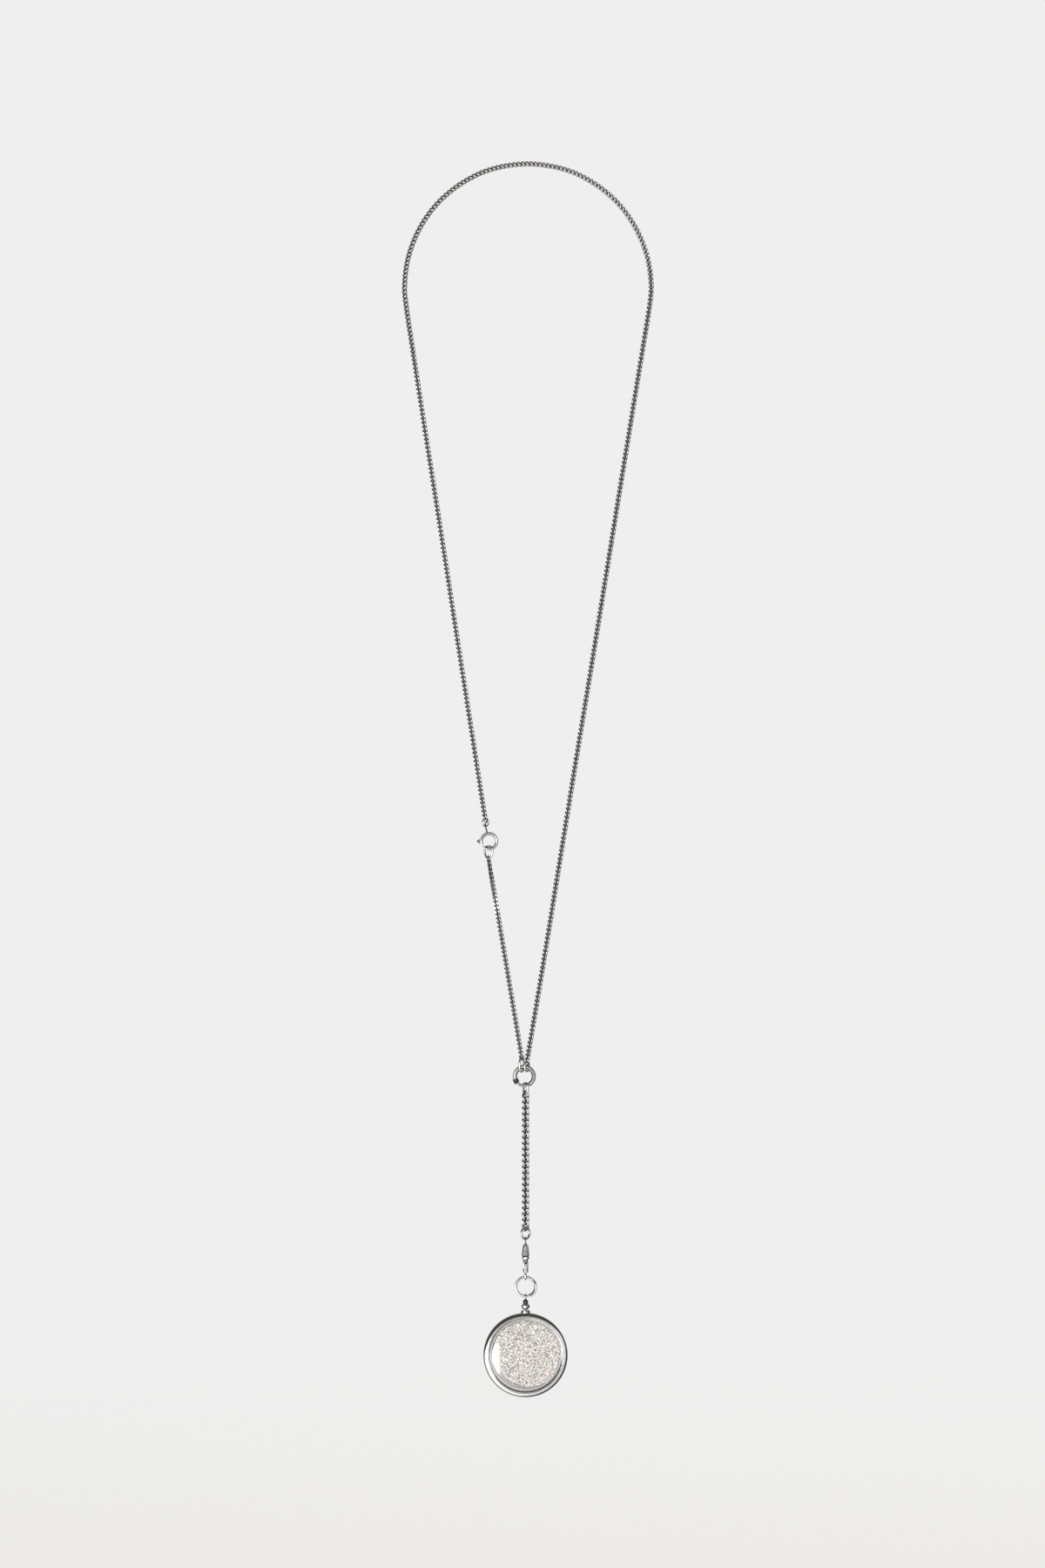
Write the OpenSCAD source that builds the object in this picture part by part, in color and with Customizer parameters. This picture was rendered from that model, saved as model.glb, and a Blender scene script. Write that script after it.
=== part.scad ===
// Medallion pendant on a long curb chain: a round glazed case filled with small crystals,
// hung from a swivel hook, a drop chain and a bolt ring, shown draped over a round neck form.
// Millimetres. X to the right, Y away from the viewer, Z up. The origin is the highest point
// of the neck form, where the chain's underside rests. Everything hangs below it.

/* [Neck chain] */
// Half length of a fine curb link, along the middle of its wire
fine_half_l = 1.2; // [1.18:0.01:1.22]
// Half width of a fine curb link, along the middle of its wire
fine_half_w = 0.77; // [0.75:0.01:0.8]
// How far the wire of a fine link rises and falls as it twists
fine_twist = 0.34; // [0.32:0.01:0.36]
// Radius of a fine link's wire
fine_wire_r = 0.25; // [0.22:0.01:0.25]
// Spacing of the fine links
fine_pitch = 1.745; // [1.74:0.005:1.76]
// Number of links in the short stretch between the clasp and the centre ring
short_links = 48; // [46:1:50]

/* [Spring ring clasp] */
// Radius of the clasp, to the middle of its tube
clasp_r = 3.2; // [3.1:0.1:3.3]
// Outer radius of the clasp's tube
clasp_tube_r = 0.62; // [0.6:0.01:0.65]
// Radius of the bolt that slides in the tube
clasp_bolt_r = 0.34; // [0.3:0.01:0.36]
// Clearance round each sliding bolt
bolt_gap = 0.08; // [0.05:0.01:0.1]

/* [Centre ring] */
// Radius of the centre ring, to the middle of its tube
ring_r = 3.9; // [3.85:0.05:4]
// Outer radius of the centre ring's tube
ring_tube_r = 0.9; // [0.85:0.01:0.92]
// Radius of the bolt that closes the centre ring
ring_bolt_r = 0.6; // [0.55:0.01:0.62]
// Outer radius of the sleeve that draws the bolt back
sleeve_r = 1.18; // [1.15:0.01:1.2]

/* [Drop chain] */
// Half length of a drop chain link, along the middle of its wire
drop_half_l = 1.68; // [1.66:0.01:1.7]
// Half width of a drop chain link, along the middle of its wire
drop_half_w = 1.06; // [1.04:0.01:1.08]
// How far the wire of a drop link rises and falls as it twists
drop_twist = 0.48; // [0.46:0.01:0.5]
// Radius of a drop link's wire
drop_wire_r = 0.37; // [0.34:0.01:0.37]
// Spacing of the drop chain's links
drop_pitch = 2.43; // [2.42:0.01:2.44]
// Number of links in the drop chain
drop_links = 23; // [20:1:24]

/* [Swivel hook] */
// Radius of the knurled barrel at its wide lower end
barrel_r = 1.55; // [1.5:0.05:1.6]
// Length of the knurled barrel
barrel_h = 4.5; // [4.4:0.1:4.6]
// Radius of the hook's wire
hook_wire_r = 0.45; // [0.4:0.01:0.46]
// Radius of the hook's bow, to the middle of its wire
hook_bow_r = 1.4; // [1.38:0.01:1.45]
// Width of the hook's body
hook_w = 2.4; // [2.2:0.1:2.6]

/* [Large ring] */
// Radius of the ring that carries the medallion, to the middle of its wire
large_r = 4; // [3.9:0.1:4.1]
// Radius of the large ring's wire
large_wire_r = 0.5; // [0.45:0.01:0.5]

/* [Medallion] */
// Outer radius of the medallion's rim
case_r = 17.4; // [17:0.1:18]
// Half the thickness of the rim
case_half_t = 3; // [2.8:0.1:3.2]
// Radius that rounds the rim's corners
rim_round_r = 1.15; // [0.9:0.05:1.2]
// Radius of the rim's inner wall, where the bezels are pressed in
bezel_seat_r = 15.8; // [15.4:0.1:15.8]
// How far the domed glass rises above the rim
dome_rise = 1.8; // [1.4:0.1:2.2]

/* [Hidden] */
$fn = 64;
e = 0.01;
gap = 0.12;
silver = [0.78, 0.78, 0.77];
steel = [0.66, 0.66, 0.66];
clear = [0.86, 0.9, 0.92, 0.5];
crystal = [0.88, 0.85, 0.82];

// Numbers of segments round a link and sides round its wire
link_segs = 12;
oval_segs = 16;
link_sides = 6;
// How full the ends of the links are: 1 is an ellipse
curb_bow = 1;
oval_bow = 0.82;
// Sides of the tube, and its sections in each span of its route
tube_sides = 8;
rings_per_span = 3;

// Half width of the fine chain, which is the radius of the tube along its long stretch
chain_r = fine_half_w + fine_wire_r;
// A link's centre lies this far from the middle of the wire that it hangs on or carries
fine_seat = 0.5;
drop_seat = 0.72;

// Places in the XZ plane, from the top down
clasp_ring_c = [-17.45, -271.35];
clasp_ring_r = 1.5;
small_wire_r = 0.26;
clasp_c = [-16, -279.1];
catch_c = [-16.2, -283.6];
catch_half = [2.5, 2.1];
link_wire_r = 0.3;
ring_c = [-1.4, -376.2];
end_left_c = [-2.5, -371.41];
end_left_half = [2.97, 1.72];
end_right_c = [-0.3, -372.13];
end_right_half = [2.04, 1.66];
drop_x = -0.9;
drop_link_c = [-0.9, -381.3];
drop_link_half = [2.4, 1.6];
drop_link_wire_r = 0.33;
case_z = -491.3;

// Turns of the free links and rings about the vertical, out of the plane of the picture. The wire
// at a curb link's lower end slants one way and at its upper end the other, and so do these.
end_turn = 58;
catch_turn = -44;
drop_turn = -56;
clasp_ring_turn = 40;
swivel_ring_turn = 40;

// The bottom of the hook, the ring that hangs on it and the medallion's eye
hook_bow_z = -458.75;
hook_low_z = hook_bow_z - hook_bow_r;
large_z = hook_low_z + hook_wire_r + gap + large_wire_r - large_r;
large_low_z = large_z - large_r;
eye_wire_r = 0.3;
eye_r = 1.1;
eye_z = large_low_z + large_wire_r + gap - (eye_r - eye_wire_r);

// Route of the long stretch of the fine chain as [x, z]: from the clasp's ring, over the neck
// form and down to the centre ring
route = [
    [-18.2, -266.03], [-23.4, -232.5], [-29.6, -192.5], [-35.8, -152], [-42.2, -111], [-47.2, -78.5],
    [-50.4, -57.8], [-51, -48.2], [-49.2, -36.6], [-44.3, -24.8], [-36.6, -14.5], [-26.4, -6.4],
    [-14.6, -1.1], [0, 1], [14.6, -1.1], [26.4, -6.4], [36.6, -14.5], [44.3, -24.8],
    [49.2, -36.6], [51, -48.2], [50.3, -58.2], [46.6, -81.3], [39.9, -122.5], [33.2, -164],
    [26.6, -205], [19.9, -246], [13.3, -287], [6.7, -328], [0.3, -366.3]
];

function unit(v) = v / norm(v);

// A loop of bent wire, and t goes once round it. Its size is [half length, half width, twist,
// bow], where a bow of 1 is an ellipse and a smaller one has fuller, rounder ends.
function bowed(v, bow) = sign(v) * pow(abs(v), bow);
function loop_point(size, t) =
    [size[0] * bowed(cos(t), size[3]), size[1] * bowed(sin(t), size[3]), size[2] * sin(2 * t)];
function loop_tangent(size, t) = unit(loop_point(size, t + 1) - loop_point(size, t - 1));
function loop_outward(size, t) =
    let (out = [cos(t), sin(t), 0], along = loop_tangent(size, t)) unit(out - (out * along) * along);
function loop_section(size, t, wire_r, sides) =
    let (out = loop_outward(size, t), side = cross(loop_tangent(size, t), out))
    [for (k = [0:sides - 1])
        loop_point(size, t)
        + wire_r * (cos(360 * k / sides) * out + sin(360 * k / sides) * side)];

// Triangles between two neighbouring sections, numbered a and b, of a swept skin
function strip(a, b, sides) =
    [for (k = [0:sides - 1]) let (n = (k + 1) % sides)
        each [[a * sides + k, b * sides + k, b * sides + n],
              [a * sides + k, b * sides + n, a * sides + n]]];

// One closed wire link, lying along X and flat in the XY plane
module wire_loop(size, wire_r, segs, sides) {
    polyhedron(
        points = [for (i = [0:segs - 1]) each loop_section(size, 360 * i / segs, wire_r, sides)],
        faces = [for (i = [0:segs - 1]) each strip(i, (i + 1) % segs, sides)],
        convexity = 4);
}

// Turns what lies in the XY plane up into the XZ plane, with Z towards the viewer
module upright() rotate([90, 0, 0]) children();

// Places what is drawn in the XY plane about a point [x, z], upright
module at(place) translate([place[0], 0, place[1]]) upright() children();

// A curb link of a chain that runs along the angle heading
module curb_link(place, heading, size, wire_r) {
    at(place) rotate([0, 0, heading]) wire_loop(size, wire_r, link_segs, link_sides);
}

// An oval link that hangs long side down, turned about the vertical
module oval_link(place, half, wire_r, turn) {
    translate([place[0], 0, place[1]]) rotate([0, 0, turn]) upright() rotate([0, 0, 90])
        wire_loop([half[0], half[1], 0, oval_bow], wire_r, oval_segs, link_sides);
}

// Part of a round bar bent about the Z axis, from one angle to another
module arc_bar(r, bar_r, from, to) {
    rotate([0, 0, from]) rotate_extrude(angle = to - from) translate([r, 0]) circle(bar_r);
}

// Part of a square-edged groove about the Z axis, from radius r0 outwards to r1
module arc_slot(r0, r1, width, from, to) {
    rotate([0, 0, from]) rotate_extrude(angle = to - from)
        translate([r0, -width / 2]) square([r1 - r0, width]);
}

// A whole ring of round wire about the Z axis
module wire_ring(r, wire_r) rotate_extrude() translate([r, 0]) circle(wire_r);

// Catmull-Rom point between route points i and i + 1
function route_at(i) = route[max(0, min(len(route) - 1, i))];
function spline(i, u) =
    let (p0 = route_at(i - 1), p1 = route_at(i), p2 = route_at(i + 1), p3 = route_at(i + 2))
    0.5 * (2 * p1 + (p2 - p0) * u + (2 * p0 - 5 * p1 + 4 * p2 - p3) * u * u
           + (3 * p1 - p0 - 3 * p2 + p3) * u * u * u);
path = [for (i = [0:len(route) - 2]) each [for (k = [0:rings_per_span - 1])
            spline(i, k / rings_per_span)], route[len(route) - 1]];
function path_heading(i) =
    let (d = path[min(len(path) - 1, i + 1)] - path[max(0, i - 1)]) atan2(d[1], d[0]);
function tube_section(i) =
    let (h = path_heading(i))
    [for (k = [0:tube_sides - 1]) let (c = cos(360 * k / tube_sides), s = sin(360 * k / tube_sides))
        [path[i][0] - chain_r * c * sin(h), -chain_r * s, path[i][1] + chain_r * c * cos(h)]];

// The tube along the long stretch, with a flat lid at each end
module chain_tube() {
    last = len(path) - 1;
    lid = [for (k = [1:tube_sides - 2]) [0, k, k + 1]];
    polyhedron(
        points = [for (i = [0:last]) each tube_section(i)],
        faces = concat(
            [for (i = [0:last - 1]) each strip(i, i + 1, tube_sides)],
            lid,
            [for (f = lid) [f[0], f[2], f[1]] + last * tube_sides * [1, 1, 1]]),
        convexity = 10);
}

// Two real links at an end of the tube: they run from the wire at foot towards the route
module end_links(foot, towards) {
    d = unit(towards - foot);
    for (k = [0:1])
        curb_link(foot + (fine_seat + k * fine_pitch) * d, atan2(d[1], d[0]),
                  [fine_half_l, fine_half_w, fine_twist, curb_bow], fine_wire_r);
}

// The wires that the ends of the fine chain hold
clasp_ring_top = clasp_ring_c + [0, clasp_ring_r];
catch_bottom = catch_c - [0, catch_half[0]];
end_left_top = end_left_c + [0, end_left_half[0]];
end_right_top = end_right_c + [0, end_right_half[0]];

module neck_chain_long() {
    color(silver) {
        chain_tube();
        end_links(clasp_ring_top, route[0]);
        end_links(end_right_top, route[len(route) - 1]);
    }
}

module neck_chain_short() {
    run = end_left_top - catch_bottom;
    d = unit(run);
    step = (norm(run) - 2 * fine_seat) / (short_links - 1);
    color(silver)
        for (k = [0:short_links - 1])
            curb_link(catch_bottom + (fine_seat + k * step) * d, atan2(d[1], d[0]),
                      [fine_half_l, fine_half_w, fine_twist, curb_bow], fine_wire_r);
}

module clasp_jump_ring() {
    color(silver) translate([clasp_ring_c[0], 0, clasp_ring_c[1]])
        rotate([0, 0, clasp_ring_turn]) upright() wire_ring(clasp_ring_r, small_wire_r);
}

// Angles round the clasp, counted from the right: where its tube is open, where the bolt starts
// and ends, and how far back its trigger can be drawn
clasp_mouth = 205;
clasp_stop = 240;
clasp_tip = 247;
clasp_tail = 172;
trigger_at = 180;
clasp_draw = 35;
slot_spare = 6;
bore_spare = 3;
clasp_eye_r = 1.75;
clasp_eye_wire_r = 0.33;
clasp_eye_at = 103;
clasp_eye_sunk = 0.3;
clasp_eye_out = clasp_r + clasp_tube_r + clasp_eye_r + clasp_eye_wire_r - clasp_eye_sunk;
clasp_eye_c = clasp_c + clasp_eye_out * [cos(clasp_eye_at), sin(clasp_eye_at)];
trigger_stem_r = 0.18;
trigger_base_r = 0.68;
trigger_tip_r = 0.14;
trigger_h = 1.2;

module clasp_case() {
    bore_r = clasp_bolt_r + bolt_gap;
    color(silver) {
        difference() {
            at(clasp_c) arc_bar(clasp_r, clasp_tube_r, clasp_stop - 360, clasp_mouth);
            at(clasp_c) arc_bar(clasp_r, bore_r, clasp_tail - clasp_draw - slot_spare,
                                clasp_mouth + bore_spare);
            at(clasp_c) arc_bar(clasp_r, bore_r, clasp_stop - bore_spare,
                                clasp_tip + bore_spare);
            at(clasp_c) arc_slot(clasp_r, clasp_r + 2 * clasp_tube_r,
                                 2 * (trigger_stem_r + bolt_gap),
                                 trigger_at - clasp_draw - slot_spare, trigger_at + slot_spare);
        }
        translate([clasp_eye_c[0], 0, clasp_eye_c[1]]) rotate([0, 0, 90]) upright()
            wire_ring(clasp_eye_r, clasp_eye_wire_r);
    }
}

module clasp_latch() {
    color(silver) at(clasp_c) {
        arc_bar(clasp_r, clasp_bolt_r, clasp_tail, clasp_tip);
        rotate([0, 0, trigger_at]) rotate([0, 90, 0]) {
            translate([0, 0, clasp_r])
                cylinder(r = trigger_stem_r, h = clasp_tube_r + 2 * gap);
            translate([0, 0, clasp_r + clasp_tube_r + gap])
                cylinder(r1 = trigger_base_r, r2 = trigger_tip_r, h = trigger_h);
        }
    }
}

module catch_link() {
    color(silver) oval_link(catch_c, catch_half, link_wire_r, catch_turn);
}

module end_link_left() {
    color(silver) oval_link(end_left_c, end_left_half, link_wire_r, end_turn);
}

module end_link_right() {
    color(silver) oval_link(end_right_c, end_right_half, link_wire_r, end_turn);
}

// Angles round the centre ring, counted from the right
ring_mouth = 222;
ring_stop = 299;
ring_tip = 306;
ring_tail = 203;
sleeve_at = 209;
sleeve_half = 14;
ring_draw = 45;
pin_r = 0.2;

module centre_ring() {
    bore_r = ring_bolt_r + bolt_gap;
    color(steel) at(ring_c) difference() {
        arc_bar(ring_r, ring_tube_r, ring_stop - 360, ring_mouth);
        arc_bar(ring_r, bore_r, ring_tail - ring_draw - slot_spare, ring_mouth + bore_spare);
        arc_bar(ring_r, bore_r, ring_stop - bore_spare, ring_tip + bore_spare);
        arc_slot(ring_r, ring_r + 2 * ring_tube_r, 2 * (pin_r + bolt_gap),
                 sleeve_at - ring_draw - slot_spare, sleeve_at + slot_spare);
    }
}

module centre_ring_bolt() {
    color(steel) at(ring_c) {
        arc_bar(ring_r, ring_bolt_r, ring_tail, ring_tip);
        difference() {
            arc_bar(ring_r, sleeve_r, sleeve_at - sleeve_half, sleeve_at + sleeve_half);
            arc_bar(ring_r, ring_tube_r + gap, sleeve_at - sleeve_half - bore_spare,
                    sleeve_at + sleeve_half + bore_spare);
        }
        rotate([0, 0, sleeve_at]) rotate([0, 90, 0]) translate([0, 0, ring_r])
            cylinder(r = pin_r, h = (ring_tube_r + gap + sleeve_r) / 2);
    }
}

module drop_link() {
    color(silver) oval_link(drop_link_c, drop_link_half, drop_link_wire_r, drop_turn);
}

drop_top = drop_link_c[1] - drop_link_half[0] - drop_seat;
drop_low_wire = drop_top - (drop_links - 1) * drop_pitch - drop_seat;

module drop_chain() {
    color(silver)
        for (k = [0:drop_links - 1])
            curb_link([drop_x, drop_top - k * drop_pitch], 90,
                      [drop_half_l, drop_half_w, drop_twist, curb_bow], drop_wire_r);
}

// The swivel: a ring on the chain, an eye on a knurled barrel, and the hook that turns under it
swivel_ring_r = 2.42;
swivel_ring_wire_r = 0.4;
swivel_ring_z = drop_low_wire - swivel_ring_r;
swivel_eye_r = 1.34;
swivel_eye_wire_r = 0.3;
swivel_eye_z = swivel_ring_z - swivel_ring_r + swivel_ring_wire_r + gap
               - (swivel_eye_r - swivel_eye_wire_r);
barrel_top_r = 1;
flare_r = 0.75;
flare_h = 0.3;
stem_r = 0.45;
stem_h = 0.6;
eye_above_barrel = 0.35;
barrel_top = swivel_eye_z - swivel_eye_r - swivel_eye_wire_r - eye_above_barrel;
barrel_low = barrel_top - barrel_h;
post_r = 0.45;
post_gap = 0.06;
head_r = 0.75;
head_h = 0.8;
shoulder_h = 0.8;

module swivel_jump_ring() {
    color(silver) translate([drop_x, 0, swivel_ring_z]) rotate([0, 0, swivel_ring_turn]) upright()
        wire_ring(swivel_ring_r, swivel_ring_wire_r);
}

module swivel_barrel() {
    color(steel) difference() {
        union() {
            translate([drop_x, 0, swivel_eye_z]) rotate([0, 0, 90]) upright()
                wire_ring(swivel_eye_r, swivel_eye_wire_r);
            translate([drop_x, 0, barrel_low]) {
                cylinder(r1 = barrel_r, r2 = barrel_top_r, h = barrel_h);
                translate([0, 0, barrel_h - e]) cylinder(r = flare_r, h = flare_h);
                translate([0, 0, barrel_h]) cylinder(r = stem_r, h = stem_h);
            }
        }
        translate([drop_x, 0, barrel_low]) {
            translate([0, 0, -e]) cylinder(r = post_r + post_gap, h = shoulder_h + 2 * e);
            translate([0, 0, shoulder_h])
                cylinder(r = head_r + gap, h = head_h + 3 * gap);
        }
    }
}

// The hook: a bead of two lobes under the barrel, a body slotted for the gate, a spine down its
// back and the bow. Its front tip stops short, and the gate closes the mouth from inside.
bead_top = barrel_low - 0.15;
bead_h = 2;
bead_core_r = 1.2;
bead_lobe_r = 1;
upper_lobe = 0.55;
lower_lobe = 0.5;
body_top = bead_top - bead_h;
body_r = 1.75;
body_low = body_top - 3.2;
spine_r = 1.85;
spine_low = hook_bow_z + 0.85;
tip_top = hook_bow_z + 1.2;
gate_y = -0.6;
gate_t = 0.5;
gate_w = 1.1;
gate_z = body_top - 1.4;
gate_low = hook_bow_z + 0.75;
gate_pin_r = 0.2;
gate_pin_fit = 0.02;
gate_hub_r = 0.5;
gate_hub_fit = 0.06;
slot_top = body_top - 0.5;
slot_back = 0.9;

// What the hook is made of where it is as wide as its body, between two heights and behind front
module hook_block(r, low, top, front) {
    intersection() {
        translate([0, 0, low]) cylinder(r = r, h = top - low);
        translate([-hook_w / 2, front, low - e]) cube([hook_w, r - front, top - low + 2 * e]);
    }
}

module swivel_hook() {
    color(silver) translate([drop_x, 0, 0]) difference() {
        union() {
            translate([0, 0, bead_top - e])
                cylinder(r = post_r, h = barrel_low + shoulder_h + gap - bead_top + 2 * e);
            translate([0, 0, barrel_low + shoulder_h + gap]) cylinder(r = head_r, h = head_h);
            translate([0, 0, body_top]) cylinder(r = bead_core_r, h = bead_h);
            translate([0, 0, bead_top - upper_lobe]) wire_ring(bead_lobe_r, upper_lobe);
            translate([0, 0, body_top + lower_lobe]) wire_ring(bead_lobe_r, lower_lobe);
            hook_block(body_r, body_low, body_top + e, -body_r);
            hook_block(spine_r, spine_low, body_low + e, hook_bow_r - hook_wire_r);
            translate([0, 0, hook_bow_z]) {
                translate([0, hook_bow_r, 0])
                    cylinder(r = hook_wire_r, h = spine_low - hook_bow_z + hook_wire_r);
                translate([0, -hook_bow_r, 0]) cylinder(r = hook_wire_r, h = tip_top - hook_bow_z);
                rotate([0, 0, 90]) upright() arc_bar(hook_bow_r, hook_wire_r, 180, 360);
            }
        }
        translate([-gate_w / 2 - gap, slot_back - 2 * hook_w, body_low - hook_w])
            cube([gate_w + 2 * gap, 2 * hook_w, slot_top - body_low + hook_w]);
        translate([-hook_w, gate_y, gate_z]) rotate([0, 90, 0])
            cylinder(r = gate_pin_r + gate_pin_fit, h = 2 * hook_w);
    }
}

module gate_pin() {
    color(steel) translate([drop_x - hook_w / 2, gate_y, gate_z]) rotate([0, 90, 0])
        cylinder(r = gate_pin_r, h = hook_w);
}

module hook_gate() {
    color(steel) translate([drop_x - gate_w / 2, gate_y, 0]) difference() {
        union() {
            translate([0, 0, gate_z]) rotate([0, 90, 0]) cylinder(r = gate_hub_r, h = gate_w);
            translate([0, -gate_t / 2, gate_low]) cube([gate_w, gate_t, gate_z - gate_low]);
        }
        translate([-e, 0, gate_z]) rotate([0, 90, 0])
            cylinder(r = gate_pin_r + gate_hub_fit, h = gate_w + 2 * e);
    }
}

// The large ring is wire bent a little more than once round: its outer end lies in front of the
// inner one, down its right side
overlap_from = -65;
overlap_to = 10;
overlap_out = 0.3;
overlap_forward = 0.75;
overlap_wire_r = large_wire_r - 0.05;

module large_ring() {
    color(silver) at([drop_x, large_z]) {
        wire_ring(large_r, large_wire_r);
        translate([0, 0, overlap_forward])
            arc_bar(large_r + overlap_out, overlap_wire_r, overlap_from, overlap_to);
    }
}

// Section of the medallion, as radii and heights above its middle plane: a web inside the rim
// carries the two glasses on their flanges, and the bezels hold them down
web_r = 14.7;
web_half_t = 1.5;
web_lap = 0.5;
flange_r = 15.3;
flange_t = 0.8;
glass_r = 14.75;
glass_t = 0.9;
bezel_in_r = 14.85;
fill_r = 14.4;
fit = 0.06;

// Outline of the finial, as radii and heights above the middle of the case: the collar and the
// ring on it, then what stands on the bead
finial_foot = [[0, 17.1], [2.05, 17.1], [2.05, 17.9], [1.7, 17.9], [1.95, 18.1], [1.95, 18.5],
               [0, 18.5]];
finial_knob = [[0, 20.3], [1.6, 20.3], [1.12, 21.6], [1.12, 22.1], [0.55, 23], [0, 23]];
finial_bead_z = 19.4;
finial_bead_r = 1.88;
finial_inset = 0.7;

module rim_half() {
    translate([bezel_seat_r, 0])
        square([case_r - rim_round_r - bezel_seat_r, case_half_t]);
    translate([bezel_seat_r, 0]) square([case_r - bezel_seat_r, case_half_t - rim_round_r]);
    intersection() {
        translate([case_r - rim_round_r, case_half_t - rim_round_r]) circle(rim_round_r);
        translate([bezel_seat_r, 0]) square(case_half_t + e);
    }
}

module finial() {
    difference() {
        union() {
            rotate_extrude() {
                polygon(finial_foot);
                polygon(finial_knob);
            }
            translate([0, 0, finial_bead_z]) sphere(finial_bead_r);
        }
        upright() translate([0, 0, -case_half_t])
            cylinder(r = case_r - finial_inset, h = 2 * case_half_t);
    }
}

module medallion_frame() {
    color(silver) translate([drop_x, 0, case_z]) {
        upright() rotate_extrude() {
            rim_half();
            mirror([0, 1]) rim_half();
            translate([web_r, -web_half_t])
                square([bezel_seat_r - web_r + web_lap, 2 * web_half_t]);
        }
        finial();
        translate([0, 0, eye_z - case_z]) rotate([0, 0, 90]) upright()
            wire_ring(eye_r, eye_wire_r);
    }
}

// One bezel in its own frame, with the medallion's middle plane at 0 and its face towards +Z
bezel_sunk = 0.1;
bezel_lip = 0.35;
module bezel() {
    low = web_half_t + flange_t + 2 * fit;
    top = case_half_t - bezel_sunk;
    rotate_extrude() polygon([
        [bezel_in_r, low], [bezel_seat_r - fit, low], [bezel_seat_r - fit, top],
        [bezel_seat_r - bezel_lip, top], [bezel_in_r, top - bezel_lip]]);
}

// One glass in the same frame: a flange under the bezel, a steep bevel and a shallow dome
dome_foot = case_half_t + 0.35;
bevel_r = 13.9;
bevel_h = case_half_t + 0.95;
dome_h = case_half_t + dome_rise;
dome_steps = 8;
flange_in = 0.2;
function dome_curve(drop) = [for (k = [0:dome_steps]) let (u = k / dome_steps)
    [bevel_r * u - drop * u, bevel_h + (dome_h - bevel_h) * (1 - u * u) - drop]];
module glass() {
    low = web_half_t + fit;
    outer = dome_curve(0);
    inner = dome_curve(glass_t);
    rotate_extrude() polygon(concat(
        outer,
        [[glass_r, dome_foot], [glass_r, low + flange_t], [flange_r, low + flange_t],
         [flange_r, low], [bevel_r - flange_in, low]],
        [for (k = [dome_steps:-1:0]) inner[k]]));
}

module front_bezel() color(silver) at([drop_x, case_z]) bezel();
module back_bezel() color(silver) at([drop_x, case_z]) mirror([0, 0, 1]) bezel();
module front_glass() color(clear) at([drop_x, case_z]) glass();
module back_glass() color(clear) at([drop_x, case_z]) mirror([0, 0, 1]) glass();

// The crystals as one solid: a lens-shaped heap between the two glasses
fill_shy = 0.3;
fill_edge_r = 13.2;
module crystal_fill() {
    top = [for (p = dome_curve(glass_t + fill_shy)) if (p[0] < fill_edge_r) p];
    half = concat(top, [[fill_edge_r, web_half_t - fill_shy], [fill_r, web_half_t - fill_shy]]);
    color(crystal) at([drop_x, case_z]) rotate_extrude()
        polygon(concat(half, [for (k = [len(half) - 1:-1:0]) [half[k][0], -half[k][1]]]));
}

neck_chain_long();
neck_chain_short();
clasp_jump_ring();
clasp_case();
clasp_latch();
catch_link();
end_link_left();
end_link_right();
centre_ring();
centre_ring_bolt();
drop_link();
drop_chain();
swivel_jump_ring();
swivel_barrel();
swivel_hook();
gate_pin();
hook_gate();
large_ring();
medallion_frame();
front_bezel();
back_bezel();
front_glass();
back_glass();
crystal_fill();
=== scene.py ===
"""A medallion pendant as it is worn: curb chains, spring ring clasp, bolt ring, swivel hook, and a
glazed case filled with small crystals. Sizes in the lists below are in millimetres, with X to the
right, Y away from the viewer and Z up from the crest of the neck form that carries the chain."""

import math

import bpy
import numpy as np
from bpy.props import FloatProperty, FloatVectorProperty, IntProperty, PointerProperty
from bpy.types import Operator, Panel, PropertyGroup
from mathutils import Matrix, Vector


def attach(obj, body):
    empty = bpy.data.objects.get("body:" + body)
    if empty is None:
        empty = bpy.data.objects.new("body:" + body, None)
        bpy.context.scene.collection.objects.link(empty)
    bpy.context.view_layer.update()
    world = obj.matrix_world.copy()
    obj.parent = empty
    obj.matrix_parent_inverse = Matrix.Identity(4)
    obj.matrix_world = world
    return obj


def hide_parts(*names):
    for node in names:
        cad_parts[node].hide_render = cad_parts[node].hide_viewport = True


bl_info = {
    "name": "Medallion Pendant",
    "version": (1, 0, 0),
    "blender": (4, 5, 0),
    "location": "3D View > Sidebar > Pendant",
    "description": "Builds a crystal-filled medallion on its long curb chain",
    "category": "Add Mesh",
}

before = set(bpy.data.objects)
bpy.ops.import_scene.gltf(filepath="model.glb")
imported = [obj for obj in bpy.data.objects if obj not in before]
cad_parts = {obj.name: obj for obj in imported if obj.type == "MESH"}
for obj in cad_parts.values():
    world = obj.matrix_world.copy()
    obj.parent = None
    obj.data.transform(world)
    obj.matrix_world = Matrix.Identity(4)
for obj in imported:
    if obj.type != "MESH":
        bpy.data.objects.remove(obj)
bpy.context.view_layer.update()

MM = 0.001
DEGREES = 180 / math.pi  # In a radian

# Where things stand, as [x, z]: the line that the drop hangs on, then the middles of the centre
# ring, the spring ring clasp and the case, the height of the floor and what the camera aims at
AXIS_X = -0.9
ON_AXIS = (AXIS_X, 0)
RING_C = (-1.4, -376.2)
CLASP_C = (-16.0, -279.1)
CASE_C = (AXIS_X, -491.3)
FLOOR_Z = -640
VIEW_C = (-2.16, -255.4)

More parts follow.
